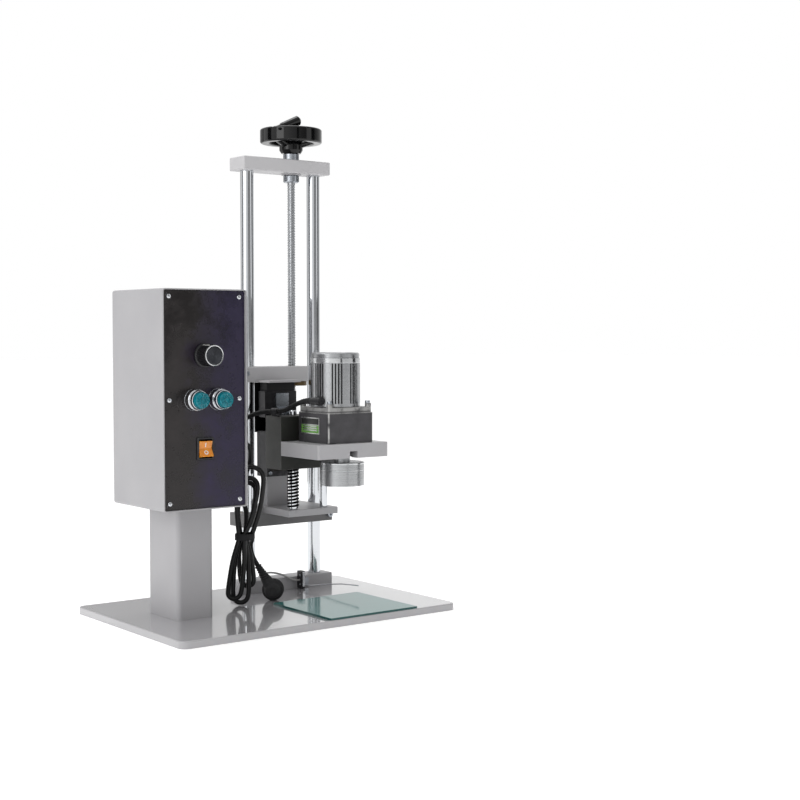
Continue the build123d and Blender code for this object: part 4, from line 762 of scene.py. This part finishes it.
# Rocker switch: a black nylon bezel that snaps into the panel, with an orange paddle that is
# marked I and O in white and tips on its pin.
rocker_x = -136.5
rocker_z = 248.0
paddle_top_y = -62.0
paddle_waist_y = -59.2
paddle_low_y = -65.2
paddle_reach = 10.3
mark_height = 6.0
mark_line = 1.4

# Polycarbonate, orange, glossy: slightly clear at the skin, so that its edges glow.
orange_plastic = moulded("polycarbonate_orange", "D4780F", "E58E22", 0.22, 1.5, 0.02, 8.0,
                         **{"Subsurface Weight": 0.15, "Coat Weight": 0.4})
dress(nylon_black, "rocker_housing")
dress(orange_plastic, "rocker_paddle")
for name, end_y, sign in (
    ("rocker_mark_off", paddle_low_y, -1), ("rocker_mark_on", paddle_top_y, 1),
):
    ahead = Vector((0, end_y - paddle_waist_y, sign * paddle_reach)).normalized()
    face = Vector((0, -ahead.z * sign, ahead.y * sign))
    waist = Vector((rocker_x, paddle_waist_y, rocker_z))
    middle = waist + Vector((0, end_y - paddle_waist_y, sign * paddle_reach)) / 2 + 0.1 * face
    bm = bmesh.new()
    if sign > 0:
        block(bm, middle, (mark_line, mark_height, 0.25), (right, ahead, face), 0.08)
    else:
        turned(bm, [(1.9, -0.12), (1.9, 0.12), (3.1, 0.12), (3.1, -0.12)], middle, face, 32,
               closed=False)
    piece(name, bm, white_ink, "rocker")


# Columns: two 20 mm ground and hard-chromed bars, screwed into a steel block on the base and
# tied at the top by a grey plate, in which the bearing of the lead screw sits.

# Steel, hard chromed and ground: a true mirror with hair-fine rings round the bar.
hard_chrome = machined("hard_chromed_bar", "DADCDF", "C9CCD0", 0.07, (30, 30, 0.6), 0.4, 0.0006)
dress(hard_chrome, "guide_columns")
dress(powder_coat, "column_block", "screw_bearing")
# Powder coat again, a little lighter: painted light on the top plate and nut plates, whose fronts
# take more light.
painted_light_coat = painted("powder_coat_painted_light", "BDBCBE", "B3B2B4", 0.4, 2.5, 0.1, 0.2)
dress(painted_light_coat, "top_plate")

# Steel, zinc plated: a cool grey with a satin, slightly patchy bloom.
zinc_plate = machined("zinc_plated_steel", "B4B8BD", "9CA1A8", 0.32, (3, 3, 3), 0.3, 0.003)


def cap_screw(bm, seat, axis, radius, height):
    """A socket-head cap screw: knurled rim, chamfered top and a hexagon socket."""
    axis = Vector(axis).normalized()
    side = axis.orthogonal().normalized()
    rings = []
    for share, rise in (
        (0.97, 0.0), (1.0, 0.08), (1.0, 0.8), (0.9, 1.0), (0.62, 1.0), (0.58, 0.94), (0.56, 0.45),
    ):
        knurl = 0.02 if 0.05 < rise < 0.9 and share == 1.0 else 0.0
        radii = []
        for k in range(36):
            reach = share + knurl * (1 if k % 2 else -1)
            if share < 0.6:
                turn = (k * math.pi / 18) % (math.pi / 3) - math.pi / 6
                reach = share * math.cos(math.pi / 6) / math.cos(turn)
            radii.append(radius * reach)
        centre = Vector(seat) + height * rise * axis
        rings.append(ring_of(bm, centre, side, axis.cross(side), radii))
    skin(bm, rings)


# Lead screw: a 12 mm rolled trapezoidal thread of 4 mm pitch, plain where it runs in its
# bearing, and two knurled collars that hold it to the top plate.
screw_axis = Vector((112, 106, 0))
screw_radius = 6.0
thread_pitch = 4.0
thread_depth = 0.8
thread_low = 250.0
thread_high = 636.0
thread_steps = 20
thread_profile = ((0.0, 0.0), (0.28, 0.0), (0.42, 1.0), (0.86, 1.0))
screw_end = 704.5
collar_spans = ((636.9, 647.7), (670.3, 681.2))
collar_radius = 12.0
knurl_count = 96
knurl_depth = 0.55

# Steel, rolled and oiled: mid grey, dark in the roots of the thread and bright on its crests.
rolled_steel = machined("rolled_screw_steel", "C6C8CA", "9EA1A5", 0.3, (6, 6, 1.2), 0.3, 0.004)

bm = bmesh.new()
last_point = int((thread_high - thread_low) / thread_pitch) * thread_steps
rows = [[] for _ in thread_profile]
for i in range(last_point + 1):
    angle = 2 * math.pi * i / thread_steps
    out = Vector((math.cos(angle), math.sin(angle), 0))
    fade = min(1.0, i / thread_steps, (last_point - i) / thread_steps)
    for row, (along, sunk) in zip(rows, thread_profile):
        height = thread_low + thread_pitch * (i / thread_steps + along)
        radius = screw_radius - thread_depth * sunk * fade
        row.append(bm.verts.new((screw_axis + radius * out + height * up) * mm))
for row, following in zip(rows, rows[1:]):
    for i in range(last_point):
        bm.faces.new((row[i], row[i + 1], following[i + 1], following[i]))
crest, root = rows[0][thread_steps:], rows[-1]
for i in range(last_point - thread_steps):
    bm.faces.new((root[i], root[i + 1], crest[i + 1], crest[i]))
turned(bm, [(4.6, thread_low), (4.9, thread_low + 1.5), (4.9, thread_high + 2)], screw_axis, up, 24)
turned(bm, [(5.9, thread_high - 3), (5.95, screw_end - 0.8), (5.2, screw_end)], screw_axis, up, 32)
screw = piece("lead_screw_thread", bm, rolled_steel, "wheel_and_screw", sharp=25)
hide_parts("lead_screw")

bm = bmesh.new()
for low, high in collar_spans:
    rows = [(10.6, low), (11.7, low + 1.0)]
    rows += [(collar_radius, low + 1.2 + (high - low - 2.4) * i / 8) for i in range(9)]
    rows += [(11.7, high - 1.0), (10.6, high)]
    rings = []
    for j, (radius, height) in enumerate(rows):
        depth = knurl_depth if 2 <= j <= 10 else 0.0
        radii = [radius - depth * ((k + j) % 2) for k in range(knurl_count)]
        rings.append(ring_of(bm, screw_axis + height * up, right, -front, radii))
    skin(bm, rings)
collars = piece("knurled_collars", bm, zinc_plate, "wheel_and_screw", sharp=12)
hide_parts("screw_collars")


# Handwheel: a phenolic wheel with a deep rim and dished spokes, pinned to the screw, and a grip
# that folds into its slot in the rim on a steel pin.

# Phenolic, moulded and buffed: piano black, with soft moulding waves in its reflections.
phenolic_black = moulded("phenolic_buffed_black", "070708", "0D0D0E", 0.09, 6.0, 0.02, 30.0,
                         **{"Coat Weight": 0.15, "Coat Roughness": 0.04, "Specular IOR Level": 0.3})
dress(phenolic_black, "handwheel", "fold_handle")
dress(chrome_plate, "handle_pin")
bm = bmesh.new()
turned(bm, [(5.2, 703.0), (5.4, 703.4), (4.6, 704.6), (2.0, 705.2), (1.2, 705.2)],
       screw_axis, up, 36)
piece("wheel_nut_cap", bm, zinc_plate, "wheel_and_screw")


# Return spring: twelve coils wound of round wire, which stand on the guide plate round the left
# rod and lift the carriage again. They close up as the head is pressed down.
spring_centre = Vector((65.0, 31.5, 0))
spring_low = 142.3
spring_high = 203.7
spring_wire = 2.9
spring_mean_radius = 7.75
spring_coils = 12
spring_steps = 24

# Spring steel, oil tempered: near black with a thin bright line along each coil.
oil_tempered = machined("spring_steel_oil_tempered", "0D0D0E", "070708", 0.3, (2, 2, 2), 0.3, 0.003)
bm = bmesh.new()
coil_line = []
for i in range(spring_coils * spring_steps + 1):
    angle = 2 * math.pi * i / spring_steps
    out = Vector((math.cos(angle), math.sin(angle), 0))
    share = i / (spring_coils * spring_steps)
    height = spring_low + spring_wire / 2 + (spring_high - spring_low - spring_wire) * share
    coil_line.append((spring_centre + spring_mean_radius * out + height * up) * mm)
sweep(bm, coil_line, [spring_wire / 2 * mm] * len(coil_line), 12)
spring_body = nodes["return_spring"]["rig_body"]
spring = piece("return_spring_coil", bm, oil_tempered, spring_body, sharp=60)
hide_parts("return_spring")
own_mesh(spring)


# Lift: steel plates that slide on the columns in bronze bushes and hang on the bronze nut of the
# screw, joined by a welded web. Cut by laser, deburred and powder coated like the box.
nut_plate_front = 86.2
nut_screw_xs = (18.5, 138.5)
nut_screw_z = 344.5

# Sintered bronze: a brown-gold metal with open pores full of oil.
sintered_bronze = machined("sintered_bronze_oiled", "6B5A40", "4A3E2C", 0.4,
                           (0.8, 0.8, 0.8), 0.2, 0.01)
dress(painted_light_coat, "nut_plate", "nut_sheet")
dress(powder_coat, "lift_web", "guide_plate")
# Powder coat, painted dark: a painted shade for the shade that the clamp plate stands in.
painted_shade_coat = painted("powder_coat_painted_shade", "626162", "565556", 0.36, 2.5, 0.15, 0.2, "9C9B9B")
dress(painted_shade_coat, "clamp_plate")
dress(sintered_bronze, "screw_nut", "column_bushes", "guide_bushes")
dress(hard_chrome, "guide_rods")
dress(zinc_plate, "clamp_screws")
bm = bmesh.new()
for x in nut_screw_xs:
    cap_screw(bm, (x, nut_plate_front, nut_screw_z), front, 3.6, 3.8)
piece("nut_plate_screws", bm, zinc_plate, "lift", sharp=30)


# Solenoid: the magnet that presses the head down. A frame of stacked iron sheets round a taped
# coil, and a plunger of the same sheets that it pulls in, with a rubber buffer above it.
lamination = 1.0
rivet_xs = (40.0, 86.0)
rivet_zs = (195.5, 252.5)
solenoid_front = 56.5


def stacked_sheets():
    """Silicon steel sheets, varnished: near black, with a fine line at the edge of each sheet."""
    material, tree, place = unfinished("silicon_steel_stacked")
    dirt = add(tree, "TexNoise", {"Vector": place, "Scale": 1000 / 8, "Detail": 4.0})
    sheets = add(tree, "TexWave", {
        "Vector": place, "Scale": 1000 / lamination / 6.283, "Distortion": 0.4,
    }, bands_direction="Y")
    tone = add(tree, "Mix", {0: dirt, 6: linear("1B1A1C"), 7: linear("29282B")}, data_type="RGBA")
    lines = add(tree, "MapRange", {0: sheets, 1: 0.8, 2: 1.0, 3: 0.0, 4: 0.5})
    lit = add(tree, "Mix", {0: lines, 6: tone.outputs[2], 7: linear("77767A")}, data_type="RGBA")
    gloss = add(tree, "MapRange", {0: dirt, 3: 0.3, 4: 0.6})
    relief = add(tree, "Bump", {"Strength": 0.5, "Distance": 0.1 * mm, "Height": sheets})
    iron = add(tree, "BsdfPrincipled", {
        "Base Color": lit.outputs[2], "Metallic": 0.2, "Roughness": gloss, "Normal": relief,
    })
    add(tree, "OutputMaterial", {0: iron})
    return material



# Glass cloth tape, varnished: dark, with the weave showing through, drawn 1.2 mm apart.
coil_tape = moulded("glass_cloth_tape_varnished", "1C1815", "2B2622", 0.4, 1.2, 0.08)
iron_sheets = stacked_sheets()
dress(iron_sheets, "solenoid_frame", "armature")
dress(coil_tape, "solenoid_coil")
dress(rubber_black, "rubber_stop")
bm = bmesh.new()
for x in rivet_xs:
    for z in rivet_zs:
        cap_screw(bm, (x, solenoid_front, z), front, 3.0, 2.6)
piece("solenoid_rivets", bm, zinc_plate, "lift", sharp=30)

# Steel sheet, blacked in hot salt: the plate that the solenoid hangs on, up to the nut plate.
blacked_steel = machined("steel_sheet_blacked", "1B1B1C", "0F0F10", 0.5, (3, 3, 3), 0.3, 0.004)
hanger_low, hanger_high = Vector((30.5, 82.4, 256.0)), Vector((91.0, 84.3, 331.1))
bm = bmesh.new()
block(bm, (hanger_low + hanger_high) / 2, hanger_high - hanger_low, (right, -front, up))
piece("solenoid_hanger", bm, blacked_steel, "lift", sharp=30)


# Head: a cast iron carriage that slides on the two rods, and a powder coated plate bolted on
# top that reaches out to carry the gearbox. The link to the armature is bent, zinced steel.
dress(powder_coat, "head_plate")
# Cast iron under a thin paint, dull: its dark olive grey is a painted shade for the shade the
# carriage stands in.
painted_shade_iron = painted("cast_iron_painted_shade", "272824", "20211E", 0.5, 4.0, 0.05, 0.3, "8A8A86")
dress(painted_shade_iron, "carriage")
dress(zinc_plate, "link_bracket")
head_body = nodes["head_plate"]["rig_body"]


# Gearbox: a square aluminium casting, shot blasted and sprayed black, with its paint worn to
# bright metal at the edges, a bare machined band at the motor joint and four long screws.
gearbox_left = 52.5
gearbox_top = 298.0
gearbox_size = 80.0
gearbox_centre = Vector((92.5, -40.5, 0))
gearbox_screw_out = 33.5
gearbox_screw_seat = 303.0


def worn_black_casting():
    """Cast aluminium, blasted and sprayed black: coarse and dull, worn to metal at each edge."""
    material, tree, place = unfinished("cast_aluminium_sprayed_black")
    blast = add(tree, "TexNoise", {"Vector": place, "Scale": 1000 / 1.1, "Detail": 3.0})
    patches = add(tree, "TexNoise", {"Vector": place, "Scale": 1000 / 14, "Detail": 5.0})
    edge = add(tree, "Bevel", {"Radius": 2.0 * mm}, samples=8)
    flat = add(tree, "NewGeometry").outputs["Normal"]
    turn = add(tree, "VectorMath", {0: edge, 1: flat}, operation="DOT_PRODUCT").outputs["Value"]
    edges = add(tree, "MapRange", {0: turn, 1: 0.995, 2: 0.93})
    uneven = add(tree, "MapRange", {0: patches, 1: 0.3, 2: 0.5})
    along = add(tree, "SeparateXYZ", {0: place}).outputs
    sides = []
    for part, middle in zip(along, gearbox_centre.xy):
        shifted = add(tree, "Math", {0: part, 1: middle * mm}, operation="SUBTRACT")
        sides.append(add(tree, "Math", {0: shifted}, operation="ABSOLUTE"))
    corner = add(tree, "Math", {0: sides[0], 1: sides[1]}, operation="MINIMUM")
    half = gearbox_size / 2
    corners_worn = add(tree, "MapRange", {0: corner, 1: (half - 3.0) * mm, 2: (half - 1.6) * mm})
    rim = add(tree, "MapRange", {
        0: along[2], 1: (gearbox_top - 7.0) * mm, 2: (gearbox_top - 4.5) * mm, 4: 0.75,
    })
    most = add(tree, "Math", {0: corners_worn, 1: rim}, operation="MAXIMUM")
    all_edges = add(tree, "Math", {0: most, 1: edges}, operation="MAXIMUM")
    worn = add(tree, "Math", {0: all_edges, 1: uneven}, operation="MULTIPLY")
    black = add(tree, "Mix", {
        0: patches, 6: linear("1D1D1F"), 7: linear("48464A"),
    }, data_type="RGBA")
    tone = add(tree, "Mix", {0: worn, 6: black.outputs[2], 7: linear("B5B5B3")}, data_type="RGBA")
    gloss = add(tree, "MapRange", {0: patches, 3: 0.32, 4: 0.55})
    relief = add(tree, "Bump", {
        "Strength": 0.6, "Distance": 0.12 * mm, "Height": blast, "Normal": edge,
    })
    casting = add(tree, "BsdfPrincipled", {
        "Base Color": tone.outputs[2], "Metallic": worn, "Roughness": gloss, "Normal": relief,
    })
    add(tree, "OutputMaterial", {0: casting})
    return material



dress(worn_black_casting(), "gearbox_case")

# The four long screws stand in their pockets at the corners.
bm = bmesh.new()
for dx in (-gearbox_screw_out, gearbox_screw_out):
    for dy in (-gearbox_screw_out, gearbox_screw_out):
        cap_screw(bm, gearbox_centre + Vector((dx, dy, gearbox_screw_seat)), up, 3.6, 4.0)
piece("gearbox_screws", bm, zinc_plate, head_body, sharp=30)


# Nameplate: a thin foil of printed aluminium on the left face, in plain fields of colour: a
# silver border round a black band, with a green field under it.
plate_y = (-57.0, -10.0)
plate_z = (259.0, 283.0)
plate_middle_y = sum(plate_y) / 2

# Aluminium foil, printed: the bare border has a brushed grain along its length.
foil = machined("aluminium_foil_brushed", "D2D3D2", "B4B5B4", 0.28, (6, 6, 0.35), 0.2, 0.002)
# Screen ink, green: flat, with the grain of the foil just showing through its gloss.
green_ink = moulded("screen_ink_green", "5E9A3C", "6FA84A", 0.35, 1.0, 0.01)
# Screen ink, black: dense and glossy.
black_ink = moulded("screen_ink_black", "141614", "1C1E1C", 0.3, 1.0, 0.01)
for name, material, low_z, high_z, margin, out in (
    ("nameplate_foil", foil, plate_z[0], plate_z[1], 0.0, 0.3),
    ("nameplate_band", black_ink, plate_z[1] - 10.0, plate_z[1] - 1.5, 1.5, 0.4),
    ("nameplate_field", green_ink, plate_z[0] + 1.5, plate_z[1] - 11.0, 1.5, 0.4),
    ("nameplate_rows", foil, plate_z[0] + 4.0, plate_z[0] + 13.0, 5.0, 0.46),
):
    bm = bmesh.new()
    rows = 3 if name == "nameplate_rows" else 1
    for row in range(rows):
        tall = (high_z - low_z) / rows * (0.62 if rows > 1 else 1.0)
        middle = low_z + (high_z - low_z) * (row + 0.5) / rows
        wide = plate_y[1] - plate_y[0] - 2 * margin
        block(bm, (gearbox_left - out / 2, plate_middle_y, middle), (out, wide, tall),
              (right, -front, up), 0.06)
    piece(name, bm, material, head_body)


# Motor: a round body of bare aluminium, extruded with eight groups of four grooves down its
# length and turned at both ends, with a brighter band under a shallow turned cap.
motor_centre = gearbox_centre
motor_radius = 36.0
motor_low = gearbox_top
motor_high = 369.0
motor_top = 377.0
groove_groups = 8
grooves = 4
groove_pitch = math.radians(7.2)
groove_width = math.radians(3.4)
groove_depth = 2.6
band_height = 7.5

# Aluminium, turned dry and left bare: pale grey, with fine rings and a soft wide highlight.
turned_bare = machined("aluminium_turned_bare", "B9BABB", "8F9194", 0.3,
                       (60, 60, 0.45), 0.35, 0.006)
# Aluminium, diamond turned: the last cut at the ends, brighter and almost a mirror.
turned_bright = machined("aluminium_turned_bright", "DADBDC", "BCBEC0", 0.16,
                         (60, 60, 0.5), 0.3, 0.003)

angles = []
for group in range(groove_groups):
    middle = 2 * math.pi * (group + 0.31) / groove_groups
    for i in range(grooves):
        at = middle + (i - (grooves - 1) / 2) * groove_pitch
        angles += [(at - groove_width / 2, 0), (at - groove_width / 2.4, 1),
                   (at + groove_width / 2.4, 1), (at + groove_width / 2, 0)]
    plain_start = middle + grooves / 2 * groove_pitch
    plain_end = middle + 2 * math.pi / groove_groups - grooves / 2 * groove_pitch
    angles += [(plain_start + (plain_end - plain_start) * (k + 0.5) / 5, 0) for k in range(5)]
angles.sort()
bm = bmesh.new()
rings = []
for height, cut, inset in (
    (motor_low, 0, 0.6), (motor_low + 0.6, 0, 0), (motor_low + 5.0, 0, 0), (motor_low + 5.6, 1, 0),
    (motor_high - band_height - 0.6, 1, 0), (motor_high - band_height, 0, 0),
    (motor_high - 0.6, 0, 0), (motor_high, 0, 0.6),
):
    ring = []
    for angle, sunk in angles:
        radius = motor_radius - inset - groove_depth * sunk * cut
        out = Vector((math.cos(angle), math.sin(angle), 0))
        ring.append(bm.verts.new((motor_centre + radius * out + height * up) * mm))
    rings.append(ring)
grooved_row = skin(bm, rings)[3]
for k, face in enumerate(grooved_row):
    if angles[k][1] or angles[(k + 1) % len(angles)][1]:
        face.material_index = 1
motor = piece("motor_shell", bm, turned_bare, head_body, sharp=30)
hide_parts("motor_body")
# Aluminium, as extruded, in the grooves: dull, and painted dark grey as a painted shade in them.
motor.data.materials.append(
    machined("aluminium_grooves_painted_shade", "4A4A4C", "303032", 0.6, (2, 2, 12), 0.2, 0.01))

bm = bmesh.new()
band_low = motor_high - band_height
turned(bm, [
    (motor_radius + 0.05, band_low + 0.4), (motor_radius + 0.35, band_low + 0.9),
    (motor_radius + 0.35, motor_high - 0.2), (motor_radius - 0.2, motor_high + 0.1),
    (motor_radius - 4, motor_high + 0.1), (motor_radius - 4, band_low + 0.4),
], motor_centre, up, 96, closed=False)
piece("motor_band", bm, turned_bright, head_body, sharp=30)

bm = bmesh.new()
turned(bm, [
    (motor_radius - 1.4, motor_high), (motor_radius - 1.0, motor_high + 0.8),
    (motor_radius - 1.0, motor_top - 2.2), (motor_radius - 2.4, motor_top - 0.4),
    (motor_radius - 4.0, motor_top), (motor_radius - 9.0, motor_top),
    (motor_radius - 9.8, motor_top - 0.8), (motor_radius - 20.0, motor_top - 0.8),
    (motor_radius - 20.6, motor_top - 0.2), (6.0, motor_top - 0.2), (5.2, motor_top - 1.4),
    (1.0, motor_top - 1.4),
], motor_centre, up, 96)
cap = piece("motor_end_cap", bm, turned_bare, head_body, sharp=25)
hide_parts("motor_cap")


# Chuck: a turned aluminium cup on the gearbox shaft that grips the cap with a rubber cone. It
# has three bands round it that a finer cut left brighter.
cup_centre = Vector((92.5, -57.5, 0))
cup_radius = 32.0
cup_band_spans = ((184.0, 185.6), (206.0, 207.4), (215.2, 217.6))
dress(turned_bare, "capping_cup")
dress(hard_chrome, "output_shaft")
dress(rubber_black, "cone_insert")
chuck_body = nodes["capping_cup"]["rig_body"]
bm = bmesh.new()
for low, high in cup_band_spans:
    turned(bm, [
        (cup_radius - 2, low), (cup_radius + 0.1, low + 0.05), (cup_radius + 0.4, low + 0.4),
        (cup_radius + 0.4, high - 0.4), (cup_radius + 0.1, high - 0.05), (cup_radius - 2, high),
    ], cup_centre, up, 96, closed=False)
piece("cup_bands", bm, turned_bright, chuck_body, sharp=30)


# Bottle switch: a snap-action switch on a zinc bracket at the foot of the right column, with a
# long bent feeler that the bottle presses back.
switch_side = (110.2, 81.5)
switch_screw_zs = (17.0, 31.0)
dress(zinc_plate, "switch_bracket")
dress(chrome_plate, "feeler")
dress(nylon_black, "micro_switch")
bm = bmesh.new()
for z in switch_screw_zs:
    screw_head(bm, (*switch_side, z), -right, 0.5 + z, 1.6, 1.1)
piece("switch_screws", bm, zinc_plate, "stand", sharp=30)


# Bottle pad: a loose sheet of teal acrylic, 3 mm, laser cut to slide under the chuck. Its faces
# are clear, and its edges are painted dark green: painted light, for the light they gather.
def cast_acrylic():
    """Acrylic, cast and tinted teal: clear faces, deep colour painted on the edges, a few scuffs.
    """
    material, tree, place = unfinished("acrylic_cast_teal")
    scuffs = add(tree, "TexNoise", {"Vector": place, "Scale": 1000 / 30, "Detail": 6.0})
    facing = add(tree, "NewGeometry").outputs["Normal"]
    upward = add(tree, "SeparateXYZ", {0: facing}).outputs[2]
    level = add(tree, "Math", {0: upward}, operation="ABSOLUTE")
    side = add(tree, "MapRange", {0: level, 1: 0.9, 2: 0.4})
    face = add(tree, "Mix", {
        0: scuffs, 6: linear("3C8783"), 7: linear("5A9D99"),
    }, data_type="RGBA")
    # Edge faces get a dark green by their normal: painted light, for how light gathers in a tinted
    # edge.
    tone = add(tree, "Mix", {0: side, 6: face.outputs[2], 7: linear("155A57")}, data_type="RGBA")
    gloss = add(tree, "MapRange", {0: scuffs, 1: 0.3, 2: 0.75, 3: 0.04, 4: 0.16})
    sheet = add(tree, "BsdfPrincipled", {
        "Base Color": tone.outputs[2], "Roughness": gloss, "IOR": 1.49,
        "Transmission Weight": 0.4,
    })
    add(tree, "OutputMaterial", {0: sheet})
    return material



dress(cast_acrylic(), "bottle_pad")


# Floor: one wide sheet of pale paper that the machine stands on, out to the horizon. It glows
# a little, as paper does that is lit from all round by a tent.
floor_size = 40.0
corners = [(-1, -1), (1, -1), (1, 1), (-1, 1)]

# Paper, matt white: no gloss, with the faintest cloudiness, so that only the shadow shows.
paper = moulded("paper_matt_white", "F4F4F4", "EFEFEF", 0.9, 5.0, 0.001, 400.0,
                **{"Emission Color": linear("FFFFFF"), "Emission Strength": 0.28})
bm = bmesh.new()
bm.faces.new([bm.verts.new((floor_size / 2 * x, floor_size / 2 * y, 0)) for x, y in corners])
set_out("floor", bm, paper)


# Light: a white tent with a large soft box over the left shoulder of the camera, a weaker one
# from the right and a strip above. Cards that only glossy surfaces see give the metal its edges.
def soft_box(name, place, aim, size, power):
    """A square area light at place that faces the aim point."""
    lamp = bpy.data.lights.new(name, "AREA")
    lamp.shape = "RECTANGLE"
    lamp.size, lamp.size_y = size
    lamp.energy = power
    made = bpy.data.objects.new(name, lamp)
    made.location = place
    made.rotation_euler = (Vector(aim) - Vector(place)).to_track_quat("-Z", "Y").to_euler()
    scene.collection.objects.link(made)


machine_middle = (0.0, 0.0, 0.35)
soft_box("key_soft_box", (-2.6, -0.7, 1.3), machine_middle, (1.4, 1.8), 18)
soft_box("fill_soft_box", (1.9, -2.0, 1.2), machine_middle, (1.4, 1.4), 5)
soft_box("top_strip", (0.2, 0.6, 2.4), machine_middle, (2.0, 0.8), 16)

# Black flock card: it gives back no light, and only the bright metal sees it.
flock = moulded("black_flock_card", "050505", "080808", 1.0, 2.0, 0.001)

# Grey cloth that fades to white at its right end: the glossy base shows it at the left.
grey_cloth, tree, place = unfinished("grey_cloth_fading")
along = add(tree, "SeparateXYZ", {0: place})
fade = add(tree, "MapRange", {0: along, 1: 0.6, 2: 1.1, 3: 0.42, 4: 1.0})
shine = add(tree, "Emission", {0: linear("FFFFFF"), 1: fade})
add(tree, "OutputMaterial", {0: shine})

for name, place, turn, size, surface in (
    ("card_left", (-1.3, 0.9, 0.5), 62, (0.5, 1.6), flock),
    ("card_right", (1.35, -0.75, 0.5), 60, (0.45, 1.6), flock),
    ("card_front", (-0.25, -2.6, 0.5), 0, (0.35, 1.6), flock),
    ("card_back", (0.25, 1.5, 0.6), 0, (1.7, 1.15), grey_cloth),
):
    across = Vector((math.cos(math.radians(turn)), math.sin(math.radians(turn)), 0))
    bm = bmesh.new()
    bm.faces.new([
        bm.verts.new(Vector(place) + a * size[0] * across / 2 + b * size[1] * up / 2)
        for a, b in corners
    ])
    card = set_out(name, bm, surface)
    for sight in ("camera", "diffuse", "shadow", "transmission"):
        setattr(card, "visible_" + sight, False)

# The tent is white behind and beside the machine, and stands open to a dim room at the front
# right, so that the fronts of the plates come out darker than their left sides.
tent_open = (0.62, -0.78, 0.0)
tent_bright = 1.0
tent_dim = 0.25
world = bpy.data.worlds.new("white_tent")
world.use_nodes = True
tree = world.node_tree
tree.nodes.clear()
sky = add(tree, "TexCoord").outputs["Generated"]
facing = add(tree, "VectorMath", {0: sky, 1: tent_open}, operation="DOT_PRODUCT")
glow = add(tree, "MapRange",
           {0: facing.outputs["Value"], 1: 0.04, 2: 0.95, 3: tent_bright, 4: tent_dim})
tent = add(tree, "Background", {"Color": linear("FFFFFF"), "Strength": glow})
add(tree, "OutputWorld", {0: tent})
scene.world = world
scene.view_settings.view_transform = "Standard"
